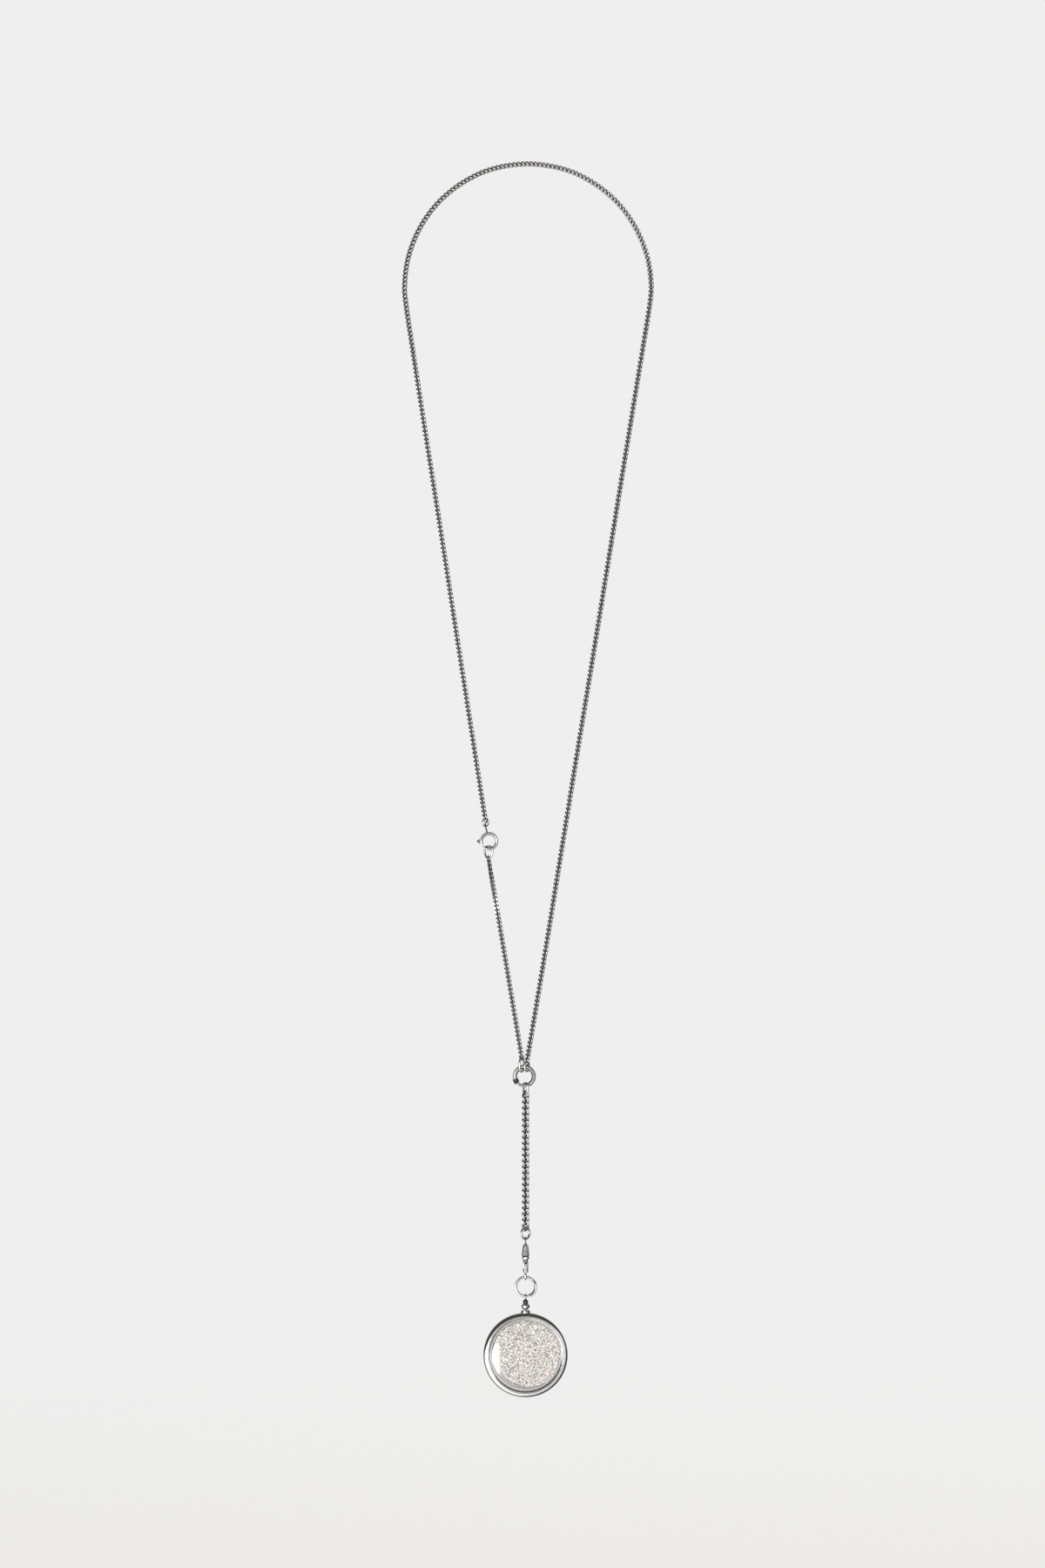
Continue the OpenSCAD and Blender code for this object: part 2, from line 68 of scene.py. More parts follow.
# Route of the long stretch of chain as [x, z], from the clasp's ring to the centre ring
ROUTE = [
    [-18.2, -266.03], [-23.4, -232.5], [-29.6, -192.5], [-35.8, -152], [-42.2, -111],
    [-47.2, -78.5], [-50.4, -57.8], [-51, -48.2], [-49.2, -36.6], [-44.3, -24.8], [-36.6, -14.5],
    [-26.4, -6.4], [-14.6, -1.1], [0, 1], [14.6, -1.1], [26.4, -6.4], [36.6, -14.5],
    [44.3, -24.8], [49.2, -36.6], [51, -48.2], [50.3, -58.2], [46.6, -81.3], [39.9, -122.5],
    [33.2, -164], [26.6, -205], [19.9, -246], [13.3, -287], [6.7, -328], [0.3, -366.3],
]
# The wires that the chains hold, as [x, z]
CLASP_RING_TOP = [-17.45, -269.85]
CATCH_BOTTOM = [-16.2, -286.1]
END_LEFT_TOP = [-2.5, -368.44]
END_RIGHT_TOP = [-0.3, -370.09]
DROP_LINK_BOTTOM = [-0.9, -383.7]
SWIVEL_RING_TOP = [-0.9, -438.6]


# Meshes. A solid is its points in millimetres and its faces

def upright(solid):
    """Turns what lies in the XY plane up into the XZ plane, with Z towards the viewer."""
    points, faces = solid
    return np.stack([points[:, 0], -points[:, 2], points[:, 1]], axis=1), faces


def moved(solid, x, z):
    """Shifts a solid sideways and up."""
    return solid[0] + np.array([x, 0, z]), solid[1]


def about_z(t):
    """The rotation by t radians about the vertical."""
    return np.array([[math.cos(t), -math.sin(t), 0], [math.sin(t), math.cos(t), 0], [0, 0, 1]])


def spun(solid, degrees):
    """Turns a solid about the vertical."""
    return solid[0] @ about_z(math.radians(degrees)).T, solid[1]


def grid(rows, cols, ring_rows, ring_cols):
    """Quads over a grid of points, closed into a ring along its rows, its columns or both."""
    r, c = np.meshgrid(
        np.arange(rows if ring_rows else rows - 1),
        np.arange(cols if ring_cols else cols - 1),
        indexing="ij",
    )
    r, c = r.ravel(), c.ravel()
    r1, c1 = (r + 1) % rows, (c + 1) % cols
    return np.stack([r * cols + c, r1 * cols + c, r1 * cols + c1, r * cols + c1], axis=1)


def clamp(v):
    return np.clip(v, 0, 1)


def unit(v):
    return v / np.linalg.norm(v, axis=-1, keepdims=True)


def round_angles(count):
    """Angles in radians at equal steps once round."""
    return 2 * np.pi * np.arange(count) / count


def on_circle(radius, a):
    """Points round the middle of the XY plane, at the angles a in radians."""
    return np.stack([radius * np.cos(a), radius * np.sin(a), np.zeros_like(a)], axis=1)


def fuller(v, power):
    """Sines or cosines raised towards 1, which swell a circle to a rounded square."""
    return np.sign(v) * np.abs(v) ** power


def lathe(outline, steps, closed=False, start=0.0, turn=360.0):
    """An outline of [radius, height] points turned about Z."""
    outline = np.array(outline, dtype=float)
    whole = turn >= 360.0
    cols = steps if whole else steps + 1
    a = np.radians(start + turn * np.arange(cols) / steps)
    points = np.stack(
        [
            np.outer(np.cos(a), outline[:, 0]),
            np.outer(np.sin(a), outline[:, 0]),
            np.tile(outline[:, 1], (cols, 1)),
        ],
        axis=2,
    ).reshape(-1, 3)
    n = len(outline)
    faces = grid(cols, n, whole, closed).tolist()
    if closed and not whole:
        faces += [list(range(n)), [(cols - 1) * n + k for k in reversed(range(n))]]
    return points, faces


def ways_round(across, rise, sides):
    """Directions round a wire at each point of its path, from the one across it."""
    a = round_angles(sides)
    return (np.cos(a)[None, :, None] * across[:, None, :]
            + np.sin(a)[None, :, None] * rise[:, None, :])


def tube(path, radius, sides, up=(0, 0, 1), closed=False, along=None):
    """A round wire along a path. Its radius is one number, one for each point of the path, or
    one row for each point with a number for each side."""
    path = np.array(path, dtype=float)
    if along is None and closed:
        along = np.roll(path, -1, axis=0) - np.roll(path, 1, axis=0)
    elif along is None:
        along = np.gradient(path, axis=0)
    along = unit(along)
    across = unit(np.cross(along, np.broadcast_to(np.array(up, dtype=float), path.shape)))
    rise = np.cross(across, along)
    radius = np.asarray(radius, dtype=float)
    if radius.ndim < 2:
        radius = radius.reshape(-1, 1)
    points = path[:, None, :] + radius[:, :, None] * ways_round(across, rise, sides)
    points = points.reshape(-1, 3)
    faces = grid(len(path), sides, closed, True).tolist()
    if not closed:
        last = (len(path) - 1) * sides
        faces += [list(range(sides)), [last + k for k in reversed(range(sides))]]
    return points, faces


def loft(sections):
    """A solid through sections that have the same number of points each."""
    sections = np.array(sections, dtype=float)
    rows, cols = sections.shape[:2]
    last = (rows - 1) * cols
    faces = grid(rows, cols, False, True).tolist()
    faces += [list(range(cols))[::-1], [last + k for k in range(cols)]]
    return sections.reshape(-1, 3), faces


def inner_shade(rows, sides, inner, outer, outside=1):
    """Painted shade for a ring of wire, carried with its tarnish: darker on its side towards the
    middle, and a painted dark edge outermost. Outside is the sign of the wire's first side, which
    is -1 where the path runs clockwise."""
    c = outside * np.cos(round_angles(sides))
    inmost, outmost = clamp((-c - 0.05) * 1.6), clamp((c - 0.7) * 3)
    return np.tile(inner * inmost + outer * outmost, rows)


def pipe_wall(middle, outer, inner, slit=1.0, steps=40):
    """The cut end of a pipe's wall with a slit on its outer side, to be turned into a ring."""
    a = np.radians(np.linspace(slit, 360 - slit, steps))
    round_out = [[middle + outer * math.cos(t), outer * math.sin(t)] for t in a]
    round_in = [[middle + inner * math.cos(t), inner * math.sin(t)] for t in a[::-1]]
    return round_out + round_in


def joined(*solids):
    """Several solids as one list of points and one of faces."""
    points, faces, base = [], [], 0
    for p, f in solids:
        points.append(p)
        faces += [[base + i for i in face] for face in f]
        base += len(p)
    return np.concatenate(points), faces


def shaded(*parts):
    """Several solids as one, and its tarnish with painted shade, from pairs of a solid and how dark
    it is.
    """
    dark = [np.broadcast_to(np.ravel(shade), len(solid[0])) for solid, shade in parts]
    return joined(*[solid for solid, _ in parts]), np.concatenate(dark)


def arc_path(radius, start, end, steps):
    return on_circle(radius, np.radians(np.linspace(start, end, steps + 1)))


def edge_on_eye(radius, wire, steps, z):
    """A closed eye of wire at the height z, which shows its edge to the viewer."""
    eye = tube(arc_path(radius, 0, 360, steps)[:-1], wire, 20, closed=True)
    return moved(spun(upright(eye), 90), 0, z)


def rounded(corners, radius, steps=4):
    """An open outline with its inner corners rounded off."""
    corners = [np.array(c, dtype=float) for c in corners]
    out = [corners[0]]
    for a, b, c in zip(corners, corners[1:], corners[2:]):
        ab, cb = a - b, c - b
        reach = min(radius, 0.45 * np.linalg.norm(ab), 0.45 * np.linalg.norm(cb))
        p, q = b + unit(ab) * reach, b + unit(cb) * reach
        for k in range(steps + 1):
            t = k / steps
            out.append((1 - t) ** 2 * p + 2 * t * (1 - t) * b + t * t * q)
    out.append(corners[-1])
    return np.array(out)


def faces_out(solid):
    """Flips the faces of a closed solid if they point inwards."""
    points, faces = solid
    volume = 0.0
    for face in faces:
        p = points[list(face)]
        for k in range(1, len(face) - 1):
            volume += np.dot(p[0], np.cross(p[k], p[k + 1]))
    return solid if volume >= 0 else (points, [list(face)[::-1] for face in faces])


def new_mesh(name, solid, made_of):
    """A mesh in metres from a solid in millimetres."""
    points, faces = solid
    mesh = bpy.data.meshes.new(name)
    mesh.from_pydata((points * MM).tolist(), [], [list(map(int, f)) for f in faces])
    mesh.materials.append(made_of)
    return mesh


def add_piece(name, solid, at, made_of, body, stands_for=(), crease=40.0, dark=None,
              tints_and_facet_shade=None):
    """Makes a piece of the pendant from a solid that is modelled round the place at. Dark is
    how dark each point is, tarnish together with painted shade, and the last argument gives the
    colours of the faces, with painted light and shade on the facets of stones."""
    mesh = new_mesh(name, moved(solid, *at), made_of)
    if dark is not None:
        mesh.attributes.new("tarnish_and_shade", "FLOAT", "POINT").data.foreach_set("value", dark)
    if tints_and_facet_shade is not None:
        layer = mesh.attributes.new("tint", "FLOAT_COLOR", "FACE")
        layer.data.foreach_set("color", np.asarray(tints_and_facet_shade, dtype=np.float32).ravel())
    if crease > 0:
        mesh.shade_smooth()
        mesh.set_sharp_from_angle(angle=math.radians(crease))
    piece = bpy.data.objects.new(name, mesh)
    bpy.context.scene.collection.objects.link(piece)
    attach(piece, body)
    if stands_for:
        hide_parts(*stands_for)


def dress(node, made_of):
    """Gives a piece of the frame its finish."""
    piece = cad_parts[node]
    piece.data.materials.clear()
    piece.data.materials.append(made_of)


# Materials

class Wire:
    """A socket of a shader node that maths can be written on."""

    def __init__(self, graph, socket):
        self.graph, self.socket = graph, socket

    def maths(self, operation, *terms):
        return self.graph.add("ShaderNodeMath", {"operation": operation}, dict(enumerate(terms)))

    def __add__(self, other):
        return self.maths("ADD", self, other)

    __radd__ = __add__

    def __sub__(self, other):
        return self.maths("SUBTRACT", self, other)

    def __rsub__(self, other):
        return self.maths("SUBTRACT", other, self)

    def __mul__(self, other):
        return self.maths("MULTIPLY", self, other)

    __rmul__ = __mul__

    def ramp(self, low, high):
        """0 below low, 1 above high, and a smooth rise in between."""
        return self.graph.add(
            "ShaderNodeMapRange",
            {"interpolation_type": "SMOOTHSTEP"},
            {"Value": self, "From Min": low, "From Max": high},
        )

    def between(self, low, high, edge):
        """1 from low to high and 0 elsewhere, with soft edges."""
        return self.ramp(low - edge, low + edge) * (1 - self.ramp(high - edge, high + edge))


class Graph:
    """The node tree of a material or of the world."""

    def __init__(self, owner):
        owner.use_nodes = True
        self.tree = owner.node_tree
        self.tree.nodes.clear()

    def add(self, kind, settings=None, sockets=None, out=0):
        """Adds a node: its settings first, then the values or links of its sockets."""
        node = self.tree.nodes.new(kind)
        for key, value in (settings or {}).items():
            setattr(node, key, value)
        for key, value in (sockets or {}).items():
            socket = node.inputs[key]
            if isinstance(value, Wire):
                self.tree.links.new(value.socket, socket)
            else:
                socket.default_value = value
        return Wire(self, node.outputs[out]) if node.outputs else None

    def mix(self, factor, a, b):
        """Blends two colours."""
        sockets = {"Factor": factor, 6: a, 7: b}
        return self.add("ShaderNodeMix", {"data_type": "RGBA"}, sockets, out=2)

    def place(self):
        """The point on the piece in millimetres."""
        where = self.add("ShaderNodeTexCoord", out="Object")
        return self.add(
            "ShaderNodeVectorMath", {"operation": "SCALE"}, {0: where, "Scale": 1 / MM})

    def noise(self, scale, detail, rough):
        sockets = {"Vector": self.place(), "Scale": scale, "Detail": detail, "Roughness": rough}
        return self.add("ShaderNodeTexNoise", None, sockets)

    def attribute(self, name, out="Fac"):
        return self.add("ShaderNodeAttribute", {"attribute_name": name}, out=out)

    def bump(self, height, strength, distance):
        sockets = {"Height": height, "Strength": strength, "Distance": distance * MM}
        return self.add("ShaderNodeBump", None, sockets)

    def finish(self, surface):
        self.add("ShaderNodeOutputMaterial", None, {"Surface": surface})


def material(name, shade):
    """The material of that name. Shade makes its nodes when it is first asked for."""
    made = bpy.data.materials.get(name)
    if made is None:
        made = bpy.data.materials.new(name)
        shade(Graph(made))
    return made


def metal(name, tone, shine, stain=0.35, grain=0.0, darkening=1.0):
    """Silver with a darkened skin: where the mesh's attribute says, which holds tarnish in its
    recesses together with painted shade, and in faint clouds all over, as far as stain says. Grain
    is the height of its scratches, and the last argument the share of the plain metal that this
    tarnish and painted shade may cover."""
    def shade(g):
        clouds = g.noise(0.9, 3.0, 0.6).ramp(0.35, 0.75)
        specks = g.noise(6.0, 2.0, 0.6).ramp(0.52, 0.7)
        dark = clouds * stain * 0.35 + specks * stain * 0.2 + g.attribute("tarnish_and_shade") * darkening
        dark = g.add("ShaderNodeClamp", None, {0: dark})
        tarnish_and_shade = bpy.context.scene.pendant_metal.tarnish_and_shade
        colour = g.mix(dark, (*tone, 1), (*tarnish_and_shade, 1))
        scratches = g.noise(14.0, 3.0, 0.7)
        rough = scratches * 0.08 + dark * 0.3 + (shine - 0.04)
        sockets = {"Base Color": colour, "Metallic": 1.0, "Roughness": rough}
        if grain:
            sockets["Normal"] = g.bump(scratches, 0.3, grain)
        g.finish(g.add("ShaderNodeBsdfPrincipled", None, sockets))

    return material(name, shade)


def silver():
    look = bpy.context.scene.pendant_metal
    return metal("bright_silver", look.silver, look.shine)


def soft_silver():
    look = bpy.context.scene.pendant_metal
    return metal("soft_silver", look.silver, look.soft_shine)


def chain_metal():
    look = bpy.context.scene.pendant_metal
    return metal("chain_silver", look.chain_silver, look.shine + 0.12, 0.3, darkening=0.7)


def rough_metal():
    look = bpy.context.scene.pendant_metal
    return metal("rough_silver", look.rough_silver, look.rough_shine, 0.6, 0.02)


def clear_glass(g):
    """Glass that lets everything through and gleams on its outer side only."""
    look = bpy.context.scene.pendant_glass
    facing = 1 - g.add("ShaderNodeNewGeometry", out="Backfacing")
    gleam = g.add("ShaderNodeFresnel", None, {"IOR": look.density}) * facing
    see = g.add("ShaderNodeBsdfTransparent", None, {"Color": (*look.tint, 1)})
    shine = g.add("ShaderNodeBsdfGlossy", None, {"Roughness": 0.03})
    g.finish(g.add("ShaderNodeMixShader", None, {0: gleam, 1: see, 2: shine}))


def cut_crystal(g):
    """The tint of each facet, with its painted light and shade, under a little haze."""
    tint = g.attribute("tint", "Color")
    haze = g.noise(2.2, 3.0, 0.6)
    colour = g.mix(haze.ramp(0.35, 0.8) * 0.25, tint, (0.72, 0.68, 0.66, 1))
    g.finish(g.add(
        "ShaderNodeBsdfPrincipled", None,
        {"Base Color": colour, "Roughness": haze * 0.12 + 0.06, "IOR": 1.75},
    ))


def crystal_depths(g):
    """Chips of crystal in their own shadow."""
    look = bpy.context.scene.pendant_crystals
    chips = g.add(
        "ShaderNodeTexVoronoi", None, {"Vector": g.place(), "Scale": 1.3}, out="Distance"
    )
    colour = g.mix(chips.ramp(0.1, 0.6), (*look.shadow_tint, 1), (0.54, 0.515, 0.5, 1))
    g.finish(g.add(
        "ShaderNodeBsdfPrincipled", None,
        {"Base Color": colour, "Roughness": chips * 0.3 + 0.3, "Normal": g.bump(chips, 0.8, 0.3)},
    ))


# Sizes and colours that a user would change

def size_prop(name, description, millimetres):
    return FloatProperty(
        name=name, description=description, default=millimetres * MM, unit="LENGTH")


def colour_prop(name, description, default):
    return FloatVectorProperty(
        name=name, description=description, default=default, subtype="COLOR", min=0, max=1)


def rough_prop(name, description, default):
    return FloatProperty(
        name=name, description=description, default=default, subtype="FACTOR", min=0, max=1)


def light_prop(name, description, default):
    return FloatProperty(name=name, description=description, default=default, min=0)


class PendantChain(PropertyGroup):
    """Links of the two chains"""

    fine_half_l: size_prop("Fine link half length", "To the middle of its wire", 1.42)
    fine_half_w: size_prop("Fine link half width", "To the middle of its wire", 0.7)
    fine_twist: size_prop("Fine link twist", "Rise and fall of its wire", 0.4)
    fine_wire: size_prop("Fine wire radius", "Radius of a fine link's wire", 0.355)
    fine_pitch: size_prop("Fine link spacing", "From link to link", 1.745)
    drop_half_l: size_prop("Drop link half length", "To the middle of its wire", 1.98)
    drop_half_w: size_prop("Drop link half width", "To the middle of its wire", 1.0)
    drop_twist: size_prop("Drop link twist", "Rise and fall of its wire", 0.55)
    drop_wire: size_prop("Drop wire radius", "Radius of a drop link's wire", 0.5)
    drop_pitch: size_prop("Drop link spacing", "From link to link", 2.43)
    edge_on: size_prop("Edge on", "How far below the clasp the chain lies on its edge", 24.0)
    lean: FloatProperty(
        name="Lean", description="How far each curb link leans over along the chain",
        default=math.radians(8.0), subtype="ANGLE")


class PendantMetal(PropertyGroup):
    """Silver of the chains, the rings and the case"""

    silver: colour_prop("Silver", "Polished silver", (0.87, 0.855, 0.835))
    chain_silver: colour_prop("Chain silver", "Silver of the chains", (0.54, 0.53, 0.515))
    rough_silver: colour_prop(
        "Rough silver", "Rough silver of the centre ring and the barrel", (0.92, 0.905, 0.88))
    # Tarnish here is also the colour of the painted shade that the meshes carry
    tarnish_and_shade: colour_prop("Tarnish", "Darkened silver in the recesses", (0.035, 0.032, 0.03))
    shine: rough_prop("Roughness", "Roughness of the polished silver", 0.12)
    soft_shine: rough_prop("Link roughness", "Roughness of the plain links and rings", 0.26)
    rough_shine: rough_prop("Roughness of rough silver", "Roughness of the rough silver", 0.42)


class PendantGlass(PropertyGroup):
    """The two domed glasses"""

    density: FloatProperty(
        name="Refraction", description="How strongly the glass gleams",
        default=2.2, min=1, max=3)
    tint: colour_prop("Tint", "Colour of the glass", (0.985, 0.99, 0.99))


class PendantCrystals(PropertyGroup):
    """The loose crystals in the case"""

    seed: IntProperty(name="Seed", description="Another number gives another heap", default=11)
    size: size_prop("Crystal radius", "Radius of a usual crystal", 0.64)
    shadow_tint: colour_prop("Gaps", "Colour deep between the crystals", (0.3, 0.275, 0.26))


class PendantStage(PropertyGroup):
    """Camera, floor and light"""

    view_height: size_prop("View height", "Height of what the camera sees", 648)
    distance: size_prop("Distance", "From the camera to the pendant", 3000)
    paper: colour_prop("Paper", "Colour behind the pendant", (0.862, 0.862, 0.862))
    floor: colour_prop("Floor", "Colour of the floor", (0.515, 0.515, 0.515))
    soft_light: light_prop("Soft light", "Brightness of the light from all round", 1.45)
    white_card: light_prop("White card", "Brightness of what lights the front", 1.1)
    black_card: light_prop("Black card", "Brightness of the dark above and behind", 0.045)
    backdrop: light_prop("Backdrop", "Brightness of the paper behind, as metal sees it", 0.8)
    window: light_prop("Soft box", "Brightness of the soft box at the left", 7.5)


# Pieces

class PENDANT_OT_stage(Operator):
    """Sets the camera, a pale floor and soft studio light"""

    bl_idname = "pendant.stage"
    bl_label = "Stage"

    def execute(self, context):
        self.camera(context)
        self.floor(context)
        self.world(context)
        self.lamps(context)
        context.scene.view_settings.view_transform = "Standard"
        return {"FINISHED"}

    def camera(self, context):
        look = context.scene.pendant_stage
        lens = bpy.data.cameras.new("camera")
        lens.sensor_fit = "VERTICAL"
        lens.sensor_height = 24.0
        lens.lens = lens.sensor_height * look.distance / look.view_height
        camera = bpy.data.objects.new("camera", lens)
        camera.location = (VIEW_C[0] * MM, -look.distance, VIEW_C[1] * MM)
        camera.rotation_euler = (math.radians(90), 0, 0)
        context.scene.collection.objects.link(camera)
        context.scene.camera = camera

    def floor(self, context):
        """A wide round of pale paper under the pendant."""
        outline, sides = [[0.5, 0], [300, 0], [900, 0], [2600, 0]], 96
        points, faces = lathe(outline, sides)
        faces.append([len(outline) * k for k in range(sides)])
        solid = moved((points, [f[::-1] for f in faces]), 0, FLOOR_Z)
        mesh = new_mesh("floor", solid, material("pale_paper", self.pale_paper))
        floor = bpy.data.objects.new("floor", mesh)
        floor.visible_glossy = False
        context.scene.collection.objects.link(floor)

    def pale_paper(self, g):
        """Paper seen from above, which is clear from below and fades out with the distance."""
        look = bpy.context.scene.pendant_stage
        where = g.add("ShaderNodeTexCoord", out="Object")
        flat = g.add("ShaderNodeVectorMath", {"operation": "MULTIPLY"}, {0: where, 1: (1, 1, 0)})
        away = g.add("ShaderNodeVectorMath", {"operation": "LENGTH"}, {0: flat}, out="Value")
        paper = g.add("ShaderNodeBsdfDiffuse", None, {"Color": (*look.floor, 1)})
        clear = g.add("ShaderNodeBsdfTransparent")
        above = 1 - g.add("ShaderNodeNewGeometry", out="Backfacing")
        shown = (1 - away.ramp(0.5, 2.3)) * above
        g.finish(g.add("ShaderNodeMixShader", None, {0: shown, 1: clear, 2: paper}))

    def world(self, context):
        """The camera sees plain paper. Polished metal and glass see a studio: white cards in front
        and below, dark above and behind, and one soft box at the left."""
        look = context.scene.pendant_stage
        world = bpy.data.worlds.new("studio")
        context.scene.world = world
        g = Graph(world)
        way = g.add("ShaderNodeTexCoord", out="Generated")
        parts = g.add("ShaderNodeSeparateXYZ", None, {0: way})
        x, y, z = (Wire(g, parts.socket.node.outputs[k]) for k in range(3))
        # Turn is in degrees to the right of straight towards the viewer, and rise in degrees
        # above level. Height is rise, less the slope of the white card's upper edge
        turn = x.maths("ARCTAN2", x, 0 - y) * DEGREES
        rise = z.maths("ARCSINE", z) * DEGREES
        height = rise - turn * 0.22
        front = (1 - (y + (x + z) * 0.14).ramp(-0.47, -0.12)) * (1 - turn.ramp(22.0, 55.0) * 0.5)
        flag = 1 - ((x - z) * 0.707).ramp(0.5, 0.68) * 0.65
        card = (1 - height.ramp(8.0, 19.0)) * front * flag * (look.white_card - look.black_card)
        # The soft box and its fainter gleam below
        box = turn.between(-44.0, -11.2, 0.7) * rise.between(-13.5, 0.1, 1.2)
        fade = turn.between(-34.0, -8.0, 1.5) * rise.between(-26.0, -13.0, 3.0)
        shine = card + box * look.window + fade * (look.window * 0.1) + look.black_card
        shine = shine + y.ramp(0.3, 0.75) * look.backdrop
        # White towards the right and faintly pink towards the left
        warm = g.mix(x.ramp(-0.1, -0.8) * 0.5, (1, 0.995, 0.985, 1), (1.0, 0.93, 0.945, 1))
        path = g.add("ShaderNodeLightPath").socket.node.outputs
        gloss, sight = Wire(g, path["Is Glossy Ray"]), Wire(g, path["Is Camera Ray"])
        level = shine * gloss + (1 - gloss) * look.soft_light
        colour = g.mix(gloss, (1, 0.99, 0.98, 1), warm)
        colour = g.mix(sight, colour, (*look.paper, 1))
        level = level * (1 - sight) + sight
        back = g.add("ShaderNodeBackground", None, {"Color": colour, "Strength": level})
        g.add("ShaderNodeOutputWorld", None, {"Surface": back})

    def lamps(self, context):
        """Three soft lamps, placed in metres, that polished metal doesn't show."""
        for name, place, size, power in (
            ("key", (-1.4, -2.0, 0.7), 0.9, 14.0),
            ("fill", (1.6, -1.6, -0.2), 1.2, 5.0),
            ("back", (0.6, 2.0, 0.8), 1.2, 8.0),
        ):
            lamp = bpy.data.lights.new(name, "AREA")
            lamp.shape = "SQUARE"
            lamp.size = size
            lamp.energy = power
            thing = bpy.data.objects.new(name, lamp)
            thing.location = place
            aim = Vector((0, 0, -0.4)) - thing.location
            thing.rotation_euler = aim.to_track_quat("-Z", "Y").to_euler()
            thing.visible_glossy = False
            context.scene.collection.objects.link(thing)


def curb_link(half_l, half_w, twist, wire, segs, sides):
    """A curb link along X with its raised faces filed flat, and how dark its points are, which is
    tarnish in its hollows together with painted shade: little on the raised faces, most at its
    ends, inside it and where it dips under the next."""
    t, a = round_angles(segs), round_angles(sides)
    rise = np.sin(2 * t)
    centre = np.stack([half_l * np.cos(t), half_w * np.sin(t), -twist * rise], axis=1)
    along = unit(np.stack(
        [-half_l * np.sin(t), half_w * np.cos(t), -2 * twist * np.cos(2 * t)], axis=1))
    out = on_circle(1, t)
    out = unit(out - np.sum(out * along, axis=1, keepdims=True) * along)
    way = ways_round(out, np.cross(along, out), sides)
    points = centre[:, None, :] + wire * way
    outward = np.cos(a)[None, :]
    raised = -rise[:, None] * way[:, :, 2]
    dark = clamp(1.05 - 1.7 * raised - 0.8 * clamp(outward)) + 0.7 * clamp(-outward)
    dark = dark + np.clip((np.abs(np.cos(t))[:, None] - 0.86) * 5, 0, 0.7)
    filed = twist + 0.3 * wire
    points[:, :, 2] = np.clip(points[:, :, 2], -filed, filed)
    return points.reshape(-1, 3), grid(segs, sides, True, True), clamp(dark).ravel()


def spline(stops, steps=24):
    """A smooth curve through points in the plane."""
    p = np.array([stops[0]] + list(stops) + [stops[-1]], dtype=float)
    u = np.arange(steps)[:, None] / steps
    spans = [
        0.5 * (2 * b + (c - a) * u + (2 * a - 5 * b + 4 * c - d) * u ** 2
               + (3 * b - a - 3 * c + d) * u ** 3)
        for a, b, c, d in zip(p, p[1:], p[2:], p[3:])
    ]
    return np.concatenate(spans + [p[-1:]])


def chain(look, kind, stops, seat, detail, lie):
    """Fine or drop links threaded along a route, and their tarnish with painted shade. Seat is the
    way from the wire at each end to the middle of the nearest link, and detail the steps round a
    link and round its wire. Lie tells how far a link is rolled about the chain and how far it
    leans along it, from the length of chain before it."""
    sizes = [getattr(look, f"{kind}_{part}") / MM for part in ("half_l", "half_w", "twist", "wire")]
    pitch = getattr(look, kind + "_pitch") / MM
    points, faces, dark = curb_link(*sizes, *detail)
    route = spline(stops)
    gone = np.concatenate([[0], np.cumsum(np.linalg.norm(np.diff(route, axis=0), axis=1))])
    count = int(round((gone[-1] - 2 * seat) / pitch)) + 1
    marks = np.linspace(seat, gone[-1] - seat, count)

    def at(lengths):
        return np.stack([np.interp(lengths, gone, route[:, k]) for k in range(2)], axis=1)

    here, way = at(marks), unit(at(marks + 0.5 * pitch) - at(marks - 0.5 * pitch))
    toward = np.array([0, -1.0, 0])
    solids = []
    for k in range(count):
        heading = np.array([way[k, 0], 0, way[k, 1]])
        across = np.cross(toward, heading)
        roll, lean = lie(marks[k])
        side = math.cos(roll) * across + math.sin(roll) * toward
        face = math.cos(roll) * toward - math.sin(roll) * across
        turned = [math.cos(lean) * heading - math.sin(lean) * side,
                  math.sin(lean) * heading + math.cos(lean) * side, face]
        solids.append(points @ np.array(turned) + [here[k, 0], 0, here[k, 1]])
    faces = (faces[None] + (np.arange(count) * len(points))[:, None, None]).reshape(-1, 4)
    return (np.concatenate(solids), faces), np.tile(dark, count)


class PENDANT_OT_fine_chains(Operator):
    """Threads the two stretches of fine curb chain, link by link"""

    bl_idname = "pendant.fine_chains"
    bl_label = "Fine chains"

    def execute(self, context):
        look = context.scene.pendant_chain
        seat = 0.5

        def over_the_form(gone):
            """Rolled and leaning where the chain lies on the neck form, 185 to 390 mm along."""
            lifted = clamp(min(gone - 185, 390 - gone) / 30)
            return math.radians(30 * lifted), look.lean + math.radians(16 * lifted)

        def turned_edge_on(gone):
            left = max(0.0, 1 - gone * MM / look.edge_on)
            return math.radians(62 * left ** 0.8), look.lean

        stops = [CLASP_RING_TOP] + ROUTE + [END_RIGHT_TOP]
        solid, dark = chain(look, "fine", stops, seat, (24, 8), over_the_form)
        # The right-hand stretch is made darker: painted shade
        dark = clamp(dark + 0.22 * np.linspace(-4, 6, len(dark)).clip(0, 1))
        add_piece("fine_chain_long", solid, (0, 0), chain_metal(), "chains",
                  ["neck_chain_long"], 50, dark)
        stops = [CATCH_BOTTOM, END_LEFT_TOP]
        solid, dark = chain(look, "fine", stops, seat, (32, 12), turned_edge_on)
        add_piece("fine_chain_short", solid, (0, 0), chain_metal(), "chains",
                  ["neck_chain_short"], 50, dark)
        return {"FINISHED"}


